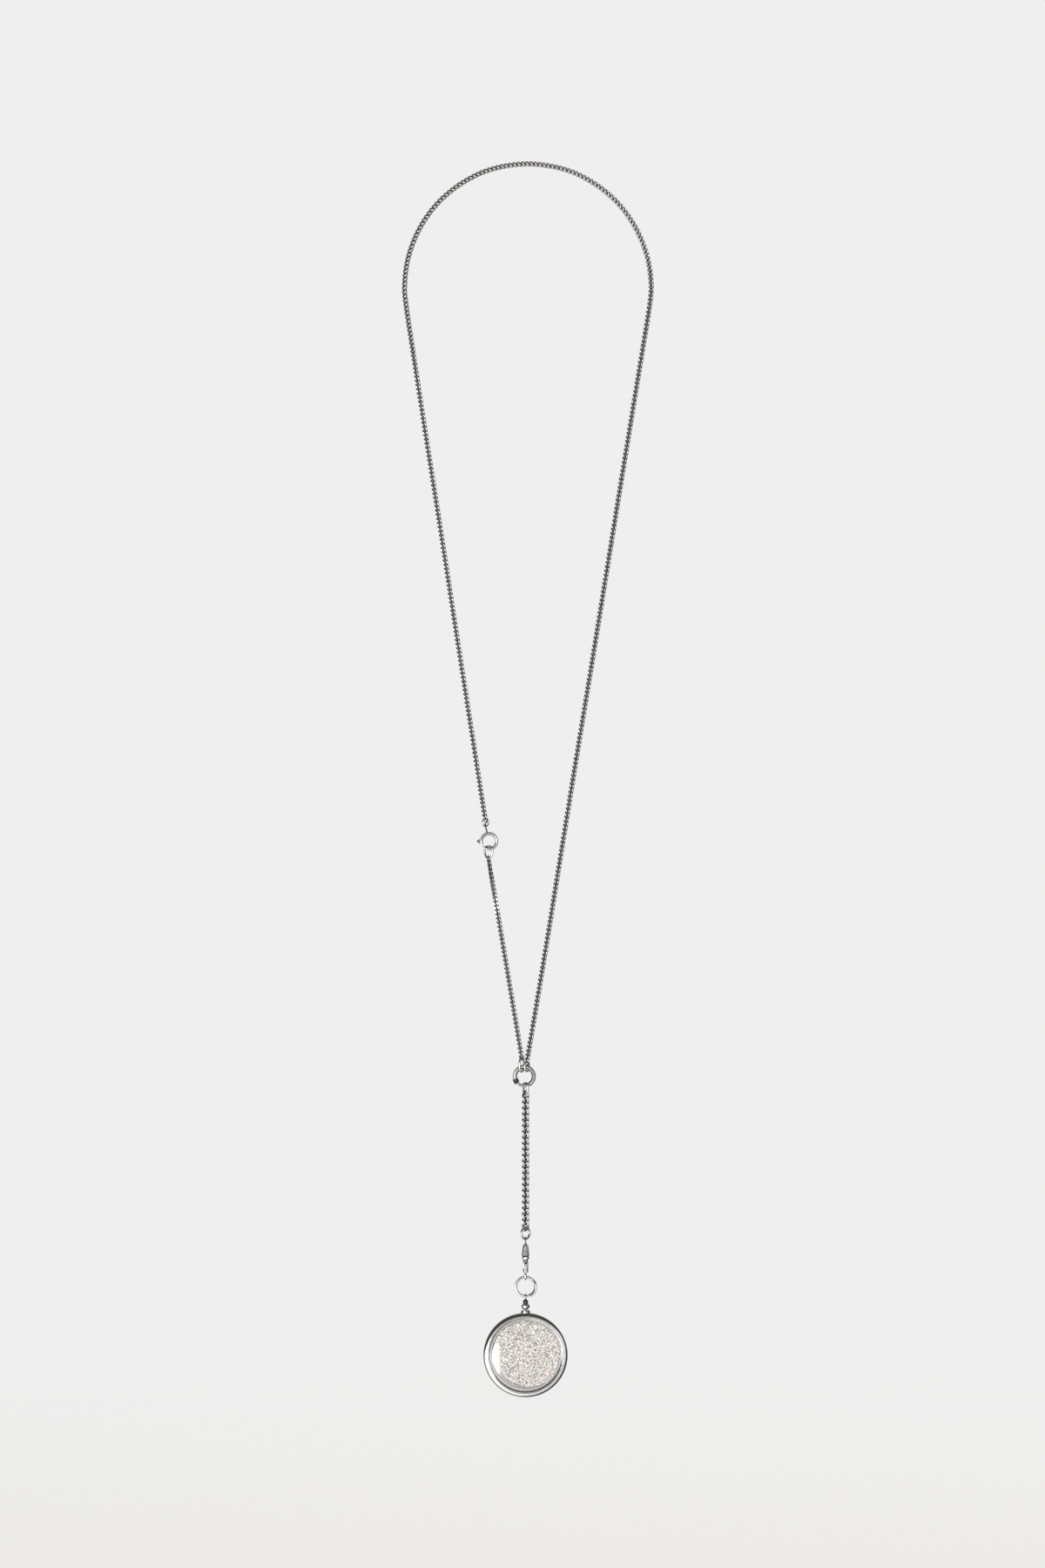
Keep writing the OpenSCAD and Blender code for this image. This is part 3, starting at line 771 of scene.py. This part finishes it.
class PENDANT_OT_drop_chain(Operator):
    """Threads the heavier curb chain under the centre ring"""

    bl_idname = "pendant.drop_chain"
    bl_label = "Drop chain"

    def execute(self, context):
        look = context.scene.pendant_chain
        stops = [DROP_LINK_BOTTOM, SWIVEL_RING_TOP]
        solid, dark = chain(look, "drop", stops, 0.72, (48, 16), lambda gone: (0.0, look.lean))
        add_piece("drop_chain_links", solid, (0, 0), chain_metal(), "chains",
                  ["drop_chain"], 50, dark * 0.88)
        return {"FINISHED"}


def oval_link(half_l, half_w, wire, turn, taper):
    """An upright oval link of round wire with full ends, turned about the vertical. Taper is
    how much wider it is at its top."""
    t = round_angles(72)
    wide = half_w * fuller(np.sin(t), 0.82) * (1 + taper * np.cos(t))
    path = np.stack([wide, half_l * fuller(np.cos(t), 0.82), np.zeros_like(t)], axis=1)
    return spun(upright(tube(path, wire, 20, closed=True)), turn)


class PENDANT_OT_links(Operator):
    """Makes the oval links at the clasp and the centre ring, and the two jump rings"""

    bl_idname = "pendant.links"
    bl_label = "Oval links and jump rings"

    def execute(self, context):
        for name, x, z, half_l, half_w, wire, turn, taper in (
            ("catch_link", -16.2, -283.6, 2.5, 2.0, 0.42, -36, 0.26),
            ("end_link_left", -2.5, -371.41, 2.95, 1.7, 0.44, 58, 0.0),
            ("end_link_right", -0.3, -372.13, 2.02, 1.64, 0.42, 58, 0.0),
            ("drop_link", -0.9, -381.3, 2.38, 1.56, 0.48, -56, 0.24),
        ):
            link = oval_link(half_l, half_w, wire, turn, taper)
            add_piece(name + "_wire", link, (x, z), soft_silver(), "chains",
                      [name], dark=inner_shade(72, 20, 0.5, 0.1, -1))
        for name, x, z, radius, wire, turn, darkening in (
            ("clasp_jump_ring", -17.45, -271.35, 1.48, 0.33, 30, 0.2),
            ("swivel_jump_ring", -0.9, -441.02, 2.38, 0.48, 46, 0.0),
        ):
            # Each is cut at one place, near its top
            ring = tube(arc_path(radius, 96, 96 + 357.5, 96), wire, 24)
            add_piece(name + "_wire", spun(upright(ring), turn), (x, z), soft_silver(), "chains",
                      [name], dark=inner_shade(97, 24, darkening, 0.1))
        return {"FINISHED"}


CLASP_R = 3.2


class PENDANT_OT_clasp(Operator):
    """Makes the spring ring clasp: its tube with a slot for the trigger, and its eye"""

    bl_idname = "pendant.clasp"
    bl_label = "Spring ring clasp"

    def execute(self, context):
        # From the mouth of the tube round to the slot of the trigger, past it, and to the mouth
        outer, inner, slot = 0.62, 0.46, 32
        pipe = joined(
            lathe(pipe_wall(CLASP_R, outer, inner), 120, True, -120, 258),
            lathe(pipe_wall(CLASP_R, outer, inner, slot), 24, True, 138, 50),
            lathe(pipe_wall(CLASP_R, outer, inner), 12, True, 188, 17),
        )
        # The eye lies across the ring and leans over by 13 degrees
        t = round_angles(72)
        up = np.array([math.sin(math.radians(-13)), 0, math.cos(math.radians(-13))])
        path = 1.72 * (np.outer(np.cos(t), up) + np.outer(np.sin(t), [0, 1.0, 0]))
        eye = tube(path, 0.33, 20, np.cross(up, [0, 1.0, 0]), closed=True)
        eye = moved(eye, -17.26 - CLASP_C[0], -273.64 - CLASP_C[1])
        # Painted shade: darker on the tube's side towards the middle of the ring and along its
        # outermost edge, and the eye darker all over
        reach = np.hypot(pipe[0][:, 0], pipe[0][:, 1]) - CLASP_R
        darkening = np.clip((-reach - 0.08) * 3, 0, 0.85) + np.clip((reach - 0.45) * 5, 0, 0.55)
        solid, dark = shaded((upright(pipe), darkening), (eye, 0.75))
        add_piece("clasp_tube", solid, CLASP_C, silver(), "chains",
                  ["clasp_case"], 40, dark)
        self.bolt_and_trigger()
        return {"FINISHED"}

    def bolt_and_trigger(self):
        """The bolt that slides in the tube, and the cone that draws it back, which sits astride."""
        bolt = tube(arc_path(CLASP_R, 172, 247, 60), 0.34, 20)
        foot, tip = 3.9, 5.1
        cone, cone_faces = lathe(rounded(
            [[0.02, 3.1], [0.18, 3.1], [0.18, foot], [1.02, foot], [1.02, 4.02], [0.62, 4.45],
             [0.2, 5.08], [0.02, tip]], 0.06), 40)
        # Its foot is bent down round the tube
        share = clamp((tip - cone[:, 2]) / (tip - foot))
        cone[:, 2] -= (foot - np.sqrt(foot ** 2 - cone[:, 0] ** 2)) * share
        cone = np.stack([-cone[:, 2], cone[:, 0], cone[:, 1]], axis=1)
        solid, dark = shaded((bolt, 0.3), (faces_out((cone, cone_faces)), 0.5))
        add_piece("clasp_trigger", upright(solid), CLASP_C, silver(), "clasp_bolt",
                  ["clasp_latch"], 40, dark)


RING_R = 3.9
MOUTH = (222, 299)  # Degrees between which the centre ring's tube is open


class PENDANT_OT_centre_ring(Operator):
    """Makes the textured bolt ring that ties the chains together, and its sleeve with the bolt"""

    bl_idname = "pendant.centre_ring"
    bl_label = "Centre ring"

    def execute(self, context):
        self.textured_tube()
        self.sleeve_and_bolt()
        return {"FINISHED"}

    def round_ring(self, angles, radius, closed=False):
        """A tube round the ring through the given angles, with a row of radii at each."""
        turned = np.radians(angles)
        ahead = np.stack([-np.sin(turned), np.cos(turned), np.zeros_like(turned)], axis=1)
        return tube(on_circle(RING_R, turned), radius, radius.shape[1], closed=closed, along=ahead)

    def textured_tube(self):
        """The tube, whose ends turn in to the hole that the bolt slides in."""
        steps, sides, deepest = 520, 60, 0.03
        start, end = MOUTH[1] - 360, MOUTH[0]
        angles = np.linspace(start, end, steps + 1)
        a, w = np.radians(angles)[:, None], round_angles(sides)[None, :]
        rng = np.random.default_rng(5)
        # Grooves run along the left of the tube, and the right is hammered
        left = clamp((angles[:, None] - 80) / 45)
        grooves = 0.026 * (
            np.cos(11 * w + 0.7 * np.sin(4 * a)) - 0.6 + 0.5 * np.cos(17 * w - 2 * a))
        blows = np.full((steps + 1, sides), -deepest)
        for _ in range(14):
            k, m, late = rng.integers(18, 46), rng.integers(-7, 8), 6.3 * rng.random()
            blows += 0.008 * np.cos(k * a + m * w + late)
        relief = np.minimum(left * grooves + (1 - left) * blows, deepest)
        ease = clamp(np.minimum(angles - start, end - angles) / 2.5)[:, None]
        relief = relief * ease - 0.1 * (1 - ease) ** 2
        # The hole is deeper at the end that the sleeve draws the bolt into
        hole, lip, body = 0.63, 0.66, 0.9
        shallow, deep = np.linspace(start + 9, start, 4), np.linspace(end, end - 70, 24)
        ends = [np.vstack([np.full((len(rows), sides), hole), np.full((1, sides), lip)])
                for rows in (shallow, deep)]
        solid = self.round_ring(
            np.concatenate([shallow, [start], angles, [end], deep]),
            np.concatenate([ends[0], body + relief, ends[1][::-1]]))
        # Darker in the hammered dents as tarnish, and with painted shade on the tube's inner side
        # and in the hole at its ends
        inside = np.clip(-np.cos(w) * 0.8, 0, 0.4)
        dark = np.concatenate([
            np.full_like(ends[0], 0.95), np.clip(0.1 - relief * 8 + inside, 0, 0.9),
            np.full_like(ends[1], 0.95)])
        add_piece("centre_ring_tube", upright(solid), RING_C, rough_metal(), "chains",
                  ["centre_ring"], 60, dark.ravel())

    def sleeve_and_bolt(self):
        """The plain bolt, with both ends rounded, and the ribbed sleeve that draws it back."""
        steps, thick = 120, 0.6
        k = np.arange(steps + 1)
        size = np.minimum(thick * clamp(k / 3 + 0.6), thick * clamp((steps - k) / 5 + 0.45))
        bolt = tube(arc_path(RING_R, 200, 305.5, steps), size, 32)
        start, end, sides, bore_rows = 195, 223, 60, 13
        angles = np.linspace(start, end, 45)
        edge = clamp(1 - np.minimum(angles - start, end - angles) / 2.4)
        swell = 1.13 - 0.09 * edge ** 2
        ribs = 0.035 * np.cos(round_angles(sides) * 20)
        # The sleeve is hollow, with its bore round the tube
        angles = np.concatenate([angles, np.linspace(end, start, bore_rows)])
        radius = np.concatenate([swell[:, None] + ribs[None, :], np.full((bore_rows, sides), 0.97)])
        sleeve = faces_out(self.round_ring(angles, radius, True))
        solid, dark = shaded((bolt, 0.42), (sleeve, 0.8))
        add_piece("ring_sleeve_and_bolt", upright(solid), RING_C, rough_metal(), "ring_bolt",
                  ["centre_ring_bolt"], 50, dark)


class PENDANT_OT_swivel(Operator):
    """Makes the knurled barrel, and finishes the hook and its gate"""

    bl_idname = "pendant.swivel"
    bl_label = "Swivel hook"

    def execute(self, context):
        self.barrel()
        self.hook()
        dress("gate_pin", rough_metal())
        dress("hook_gate", chain_metal())
        return {"FINISHED"}

    def barrel(self):
        """A barrel that narrows upwards, cut by rings and flutes, with a stem and its eye."""
        low, high, wide, narrow = -450.45, -445.95, 1.66, 1.16
        rows, cols = 90, 154
        z, a = np.linspace(low, high, rows), round_angles(cols)
        share = (z - low) / (high - low)
        body = wide + (narrow - wide) * share
        body = body - 0.12 * clamp(1 - (z - low) / 0.14)
        body = body - 0.1 * clamp(1 - (high - z) / 0.12)
        rings = clamp(np.cos(2 * np.pi * share * 6)) ** 1.5
        flutes = clamp(np.cos(11 * a)) ** 1.5
        cut = np.maximum(rings[:, None] * 0.9, flutes[None, :])
        radius = body[:, None] - 0.1 * cut
        barrel = loft(np.stack([
            radius * np.cos(a)[None, :], radius * np.sin(a)[None, :],
            np.broadcast_to(z[:, None], radius.shape),
        ], axis=2))
        stem = lathe(rounded(
            [[0.02, high - 0.1], [0.72, high - 0.1], [0.75, high + 0.28], [0.46, high + 0.36],
             [0.44, high + 0.7], [0.02, high + 0.72]], 0.1), 48)
        eye = edge_on_eye(1.34, 0.3, 96, -443.96)
        # Darker in the cut rings and flutes, as tarnish with painted shade, on the left side as
        # painted shade, and towards its foot
        darkening = cut * 0.7 + 0.35 * clamp(-np.cos(a))
        darkening = darkening + np.clip(0.5 - 5 * share, 0, 0.5)[:, None]
        solid, dark = shaded((barrel, darkening), (stem, 0.5), (eye, 0.5))
        add_piece("knurled_barrel", solid, ON_AXIS, rough_metal(), "chains",
                  ["swivel_barrel"], 60, dark)

    def hook(self):
        """A beaded neck, a body slotted for the gate, and the bow that holds the large ring."""
        neck = lathe(rounded(
            [[0.02, -450.54], [1.42, -450.54], [1.58, -450.78], [1.62, -451.2], [1.56, -451.72],
             [1.3, -451.98], [0.92, -452.08], [0.92, -452.34], [1.2, -452.44], [1.22, -452.72],
             [0.02, -452.74]], 0.08), 64)
        t = round_angles(96)
        side, depth = fuller(np.cos(t), 0.5), fuller(np.sin(t), 0.5)
        sections, shade = [], []
        whole, cut = -9, 0.88  # How deep the slot reaches: not at all, or nearly to the back
        for z, wide, deep, slot in (
            (-452.6, 1.0, 1.25, whole), (-452.75, 1.18, 1.5, whole), (-453.08, 1.22, 1.62, whole),
            (-453.1, 1.22, 1.62, cut), (-454.4, 1.22, 1.62, cut), (-455.55, 1.2, 1.6, cut),
            (-455.8, 1.12, 1.5, cut),
        ):
            x, y = wide * side, deep * depth
            inside = (np.abs(x) < 0.64) & (y < slot)
            sections.append(np.stack([x, np.where(inside, slot, y), np.full_like(t, z)], axis=1))
            shade.append(inside * 0.6)
        body = loft(sections[::-1])
        spine = loft([
            np.stack([wide * side, 1.32 + 0.4 * depth, np.full_like(t, z)], axis=1)
            for z, wide in ((-457.9, 0.5), (-457.3, 0.85), (-456.6, 1.1), (-455.7, 1.14))
        ])
        back, middle, wire = 1.4, -458.75, 0.47
        bow = [[0, back, z] for z in (-457.1, -457.5, -457.9, -458.3)]
        bow += [[0, back * math.cos(v), middle + back * math.sin(v)]
                for v in np.radians(np.linspace(0, -180, 56))]
        bow += [[0, -1.4, -458.4], [0, -1.38, -458.0], [0, -1.34, -457.7]]
        bow = tube(bow, [wire] * (len(bow) - 1) + [0.3], 24, (1, 0, 0))
        # Painted shade in the waist of the neck, inside the slot, and on the face of the spine that
        # shows through the slot
        solid, dark = shaded(
            (neck, np.clip(1 - np.abs(neck[0][:, 2] + 452.2) * 4, 0, 0.8)), (body, shade[::-1]),
            (spine, np.where(spine[0][:, 1] < 1.2, 0.9, 0.1)), (bow, 0))
        add_piece("hook_body", solid, ON_AXIS, silver(), "hook",
                  ["swivel_hook"], 45, dark)


class PENDANT_OT_large_ring(Operator):
    """Bends the wire of the large ring a little more than once round"""

    bl_idname = "pendant.large_ring"
    bl_label = "Large ring"

    def execute(self, context):
        steps, sides = 240, 28
        angles = np.linspace(-66, 372, steps)
        # The start of the wire lies outside and in front of its end
        over = 1 - clamp((angles - 8) / 42)
        over = over * over * (3 - 2 * over)
        path = on_circle(4 + 0.33 * over, np.radians(angles))
        path[:, 2] = 0.78 * over
        wire = 0.5 - 0.04 * over
        wire[[0, -1]] -= 0.1
        add_piece("large_ring_wire", upright(tube(path, wire, sides)), (AXIS_X, -463.08),
                  soft_silver(), "carrier_ring", ["large_ring"],
                  dark=inner_shade(steps, sides, 0.75, 0.25))
        return {"FINISHED"}


class PENDANT_OT_case(Operator):
    """Makes the case of the medallion with its finial and bezels"""

    bl_idname = "pendant.case"
    bl_label = "Case"

    def execute(self, context):
        self.finial()
        self.rim()
        for name, side in (("front_bezel", 1), ("back_bezel", -1)):
            self.bezel(name, side)
        return {"FINISHED"}

    def finial(self):
        """Collar, bead and knob, stood on top of the case."""
        collar = rounded([[0.02, 16.9], [2.0, 16.9], [2.05, 17.1], [2.05, 17.85], [1.68, 17.95],
                          [1.68, 18.02], [1.95, 18.12], [1.95, 18.42], [1.7, 18.5], [0.02, 18.5]],
                         0.12)
        # The bead is widest two thirds of the way up, and cut off at the top
        bead = [[1.9 * math.sqrt(1 - ((u - 0.68) / reach) ** 2), 18.5 + 2.6 * u]
                for reach, stretch in ((0.68, np.linspace(0.02, 0.68, 14)),
                                       (0.4, np.linspace(0.72, 1.0, 8))) for u in stretch]
        knob = [[1.0, 21.3], [1.0, 21.5], [1.12, 21.62], [1.14, 21.95], [1.02, 22.3],
                [0.7, 22.75], [0.5, 22.95], [0.02, 23]]
        solid = joined(lathe(collar, 64), lathe(bead + knob, 64))
        height = solid[0][:, 2]
        # Darker a little all over, more at the collar and most on the knob at the top
        darkening = 0.12 + np.clip((18.6 - height) * 2, 0, 0.12) + np.clip((height - 20.9) * 3, 0, 0.7)
        add_piece("finial", solid, CASE_C, silver(), "medallion", (), 35, darkening)

    def rim(self):
        """The rounded rim with its inner web, and the eye on top of the finial."""
        half = [[14.15, 1.5], [15.8, 1.5], [15.8, 2.7], [15.88, 2.86]]
        half += [[15.72 + 1.68 * math.sin(t), 1.7 + 1.3 * math.cos(t)]
                 for t in np.radians(np.arange(7, 91, 5))]
        outline = half + [[r, -h] for r, h in reversed(half)]
        rim = lathe(outline, 256, closed=True)
        reach = np.hypot(rim[0][:, 0], rim[0][:, 1])
        # Painted shade in the groove where the bezel sits and on the outer shoulders of the rim,
        # and the eye a little darker
        groove = (np.abs(reach - 15.8) < 0.02) * 0.7
        shoulder = np.clip((reach - 16.95) * 2, 0, 0.7) * (np.abs(rim[0][:, 2]) > 1.8)
        eye = edge_on_eye(1.1, 0.3, 72, -467.26 - CASE_C[1])
        solid, dark = shaded((upright(rim), groove + shoulder), (eye, 0.3))
        add_piece("case_rim", solid, CASE_C, silver(), "medallion",
                  ["medallion_frame"], 35, dark)

    def bezel(self, name, side):
        """The ring that holds a glass, cut through at its top."""
        outline = [[14.85, 2.42], [14.86, 2.5], [15.02, 2.56], [15.4, 2.84], [15.48, 2.88],
                   [15.6, 2.9], [15.68, 2.88], [15.74, 2.78], [15.74, 2.42]]
        points, faces = lathe(outline, 240, closed=True, start=90.35, turn=359.3)
        # Painted shade at the ring's feet, against the glass inside and against the rim outside
        dark = np.tile([0.5, 0.25, 0.05, 0, 0, 0, 0, 0.5, 0.9], len(points) // len(outline))
        add_piece(name + "_ring", upright((points * [1, 1, side], faces)), CASE_C, silver(),
                  "medallion", [name], 30, dark)


DOME_R, DOME_FOOT, DOME_TOP = 13.9, 3.95, 4.8


def dome(radius):
    """Height of the outside of the glass over the middle of the case."""
    return DOME_FOOT + (DOME_TOP - DOME_FOOT) * (1 - (radius / DOME_R) ** 2)


class PENDANT_OT_glasses(Operator):
    """Makes the two domed glasses"""

    bl_idname = "pendant.glasses"
    bl_label = "Glasses"

    def execute(self, context):
        over = [[r, dome(r)] for r in np.linspace(0.02, DOME_R, 28)]
        edge = rounded([over[-1], [14.75, 3.35], [14.75, 2.36], [15.3, 2.36], [15.3, 1.56]], 0.12)
        under = [[14.45, 1.56], [14.45, 3.0], [DOME_R, dome(DOME_R) - 0.45]]
        under += [[r, dome(r) - 0.5] for r in np.linspace(13.2, 0.02, 24)]
        for name, side in (("front_glass", 1), ("back_glass", -1)):
            points, faces = lathe(over[:-1] + edge.tolist() + under, 192)
            glass = faces_out(upright((points * [1, 1, side], faces)))
            add_piece(name + "_dome", glass, CASE_C, material("domed_glass", clear_glass),
                      "medallion", [name], 30)
        return {"FINISHED"}


def brilliant(radius, height):
    """A cut stone: a table, eight facets round it, and eight below that meet in a point."""
    a = round_angles(8)
    table = on_circle(0.58 * radius, a) + [0, 0, 0.36 * height]
    girdle = on_circle(radius, a) + [0, 0, 0.05 * height]
    faces = [list(range(8))]
    for k in range(8):
        n = (k + 1) % 8
        faces += [[8 + k, 8 + n, n, k], [16, 8 + n, 8 + k]]
    return np.concatenate([table, girdle, [[0, 0, -0.64 * height]]]), faces


def shard(radius, height):
    """A six-sided rod of crystal with pointed ends."""
    ring = on_circle(radius, round_angles(6))
    rows = [ring + [0, 0, z * height] for z in (-0.4, 0.4)]
    tips = np.array([[0, 0, -0.5 * height], [0, 0, 0.5 * height]])
    faces = []
    for k in range(6):
        n = (k + 1) % 6
        faces += [[k, n, 6 + n, 6 + k], [12, n, k], [13, 6 + k, 6 + n]]
    return np.concatenate(rows + [tips]), faces


def turned_any_way(rng, lean):
    """A rotation that leans a stone's table away from the glass by up to lean degrees."""
    tilt = np.radians(lean) * rng.random() ** 0.7
    way, spin = 2 * np.pi * rng.random(), 2 * np.pi * rng.random()
    c, s = math.cos(tilt), math.sin(tilt)
    return about_z(way) @ np.array([[1, 0, 0], [0, c, -s], [0, s, c]]) @ about_z(spin)


def scattered(rng, reach, sizes):
    """Places in a disc for stones of given radii, each as [x, y, radius]. They overlap a
    little, and leave a crescent free at the lower left."""
    spacing, tries, crescent, lower_left = 0.72, 26, 1.9, 4.0
    kept = np.zeros((0, 3))
    for size in sizes:
        for _ in range(tries):
            a = 2 * np.pi * rng.random()
            limit = reach - crescent * max(0.0, math.cos(a - lower_left)) ** 1.5
            r = limit * math.sqrt(rng.random()) - size
            x, y = r * math.cos(a), r * math.sin(a)
            gap = np.hypot(kept[:, 0] - x, kept[:, 1] - y) - spacing * (kept[:, 2] + size)
            if len(kept) == 0 or gap.min() > 0:
                kept = np.vstack([kept, [x, y, size]])
                break
    return kept


# Colours of the stones and how many have each, then the painted light and shade of facets: how
# bright they are and how often
TONES = np.array([
    [0.98, 0.91, 0.84], [0.99, 0.87, 0.79], [0.97, 0.81, 0.77], [0.97, 0.91, 0.8],
    [0.92, 0.91, 0.88], [1.0, 0.99, 0.97], [0.78, 0.7, 0.7],
])
TONE_SHARES = [0.34, 0.18, 0.12, 0.08, 0.12, 0.1, 0.06]
FACET_LIGHT_AND_SHADE = [1.3, 1.06, 0.88, 0.66, 0.42]
FACET_LIGHT_AND_SHADE_SHARES = [0.22, 0.27, 0.22, 0.17, 0.12]


class PENDANT_OT_crystals(Operator):
    """Fills the case with small cut crystals"""

    bl_idname = "pendant.crystals"
    bl_label = "Crystals"

    def execute(self, context):
        look = context.scene.pendant_crystals
        rng = np.random.default_rng(look.seed)
        for name, side, spare in (("front", 1, ["crystal_fill"]), ("back", -1, [])):
            (points, faces), tints_and_facet_shade = self.stones(rng, look.size / MM)
            if side < 0:
                faces = [f[::-1] for f in faces]
            add_piece(f"crystals_{name}", upright((points * [1, 1, side], faces)), CASE_C,
                      material("cut_crystal", cut_crystal), "medallion", spare, 0,
                      tints_and_facet_shade=tints_and_facet_shade)
        self.heap()
        return {"FINISHED"}

    def stones(self, rng, usual):
        """Two layers of stones that lie up against the glass, and the tints of their facets with
        painted light and shade.
        """
        solids, tints_and_facet_shade = [], []
        for depth, most_lean in ((0.0, 50), (0.6, 75)):
            sizes = usual * (0.72 + 0.62 * rng.random(1300) ** 2)
            sizes[:8] = usual * 1.5
            for x, y, size in scattered(rng, 14.42, np.sort(sizes)[::-1]):
                far = math.hypot(x, y)
                rod = rng.random() < 0.012
                if rod:
                    points, faces = shard(0.24, 2.1)
                else:
                    points, faces = brilliant(size, size * (1.1 + 0.3 * rng.random()))
                points = points @ turned_any_way(rng, 90 if rod else most_lean).T
                under_glass = dome(min(far + size, DOME_R)) - 0.52 - points[:, 2].max()
                z = min(under_glass, 3.3 + 0.6 * (1 - far / 14)) - depth - 0.35 * rng.random()
                if far > 13.4:
                    z = min(z, 2.85 - 0.4 * (far - 13.4))
                solids.append((points + [x, y, z], faces))
                tints_and_facet_shade.append(self.facet_tints_and_shade(rng, x, y, len(faces)))
        return joined(*solids), np.concatenate(tints_and_facet_shade)

    def facet_tints_and_shade(self, rng, x, y, count):
        tone = TONES[rng.choice(len(TONES), p=TONE_SHARES)]
        # Some stones near the top are darker: painted shadow at the top of the case
        if math.hypot(x + 2, y - 12) < 6 and rng.random() < 0.2:
            tone = TONES[-1] * 0.85
        # Painted light and shade: each facet brighter or darker at random, and the first face, the
        # table of a cut stone, brightest as a painted highlight
        facet_light_and_shade = rng.choice(FACET_LIGHT_AND_SHADE, (count, 1), p=FACET_LIGHT_AND_SHADE_SHARES)
        facet_light_and_shade[0] = 1.0 + 0.12 * rng.random()
        return np.column_stack([clamp(tone * facet_light_and_shade * 0.83), np.ones(count)])

    def heap(self):
        """What shows between the stones, coloured with the painted shade deep between them."""
        upper = [[r, 2.3 - 0.9 * (r / 14) ** 4] for r in np.linspace(0.02, 14, 12)]
        lower = [[r, -h] for r, h in reversed(upper)]
        heap = lathe(upper + [[14.1, 1.0], [14.1, -1.0]] + lower, 96)
        add_piece("crystal_heap", upright(heap), CASE_C,
                  material("crystal_depths", crystal_depths), "medallion")


class PENDANT_PT_parts(Panel):
    """Lists the pendant's pieces and what can be changed about them"""

    bl_label = "Medallion Pendant"
    bl_idname = "PENDANT_PT_parts"
    bl_space_type = "VIEW_3D"
    bl_region_type = "UI"
    bl_category = "Pendant"

    def draw(self, context):
        for name in SETTINGS:
            box = self.layout.box()
            group = getattr(context.scene, name)
            for key in group.bl_rna.properties.keys():
                if key not in ("rna_type", "name"):
                    box.prop(group, key)
        for operator in OPERATORS:
            self.layout.operator(operator.bl_idname)


SETTINGS = {
    "pendant_chain": PendantChain,
    "pendant_metal": PendantMetal,
    "pendant_glass": PendantGlass,
    "pendant_crystals": PendantCrystals,
    "pendant_stage": PendantStage,
}
OPERATORS = (
    PENDANT_OT_stage, PENDANT_OT_fine_chains, PENDANT_OT_drop_chain, PENDANT_OT_links,
    PENDANT_OT_clasp, PENDANT_OT_centre_ring, PENDANT_OT_swivel, PENDANT_OT_large_ring,
    PENDANT_OT_case, PENDANT_OT_glasses, PENDANT_OT_crystals,
)
CLASSES = (*SETTINGS.values(), *OPERATORS, PENDANT_PT_parts)


def register():
    for cls in CLASSES:
        bpy.utils.register_class(cls)
    for name, group in SETTINGS.items():
        setattr(bpy.types.Scene, name, PointerProperty(type=group))


def unregister():
    for name in SETTINGS:
        delattr(bpy.types.Scene, name)
    for cls in reversed(CLASSES):
        bpy.utils.unregister_class(cls)


def main():
    register()
    for operator in OPERATORS:
        group, name = operator.bl_idname.split(".")
        getattr(getattr(bpy.ops, group), name)()


if __name__ == "__main__":
    main()
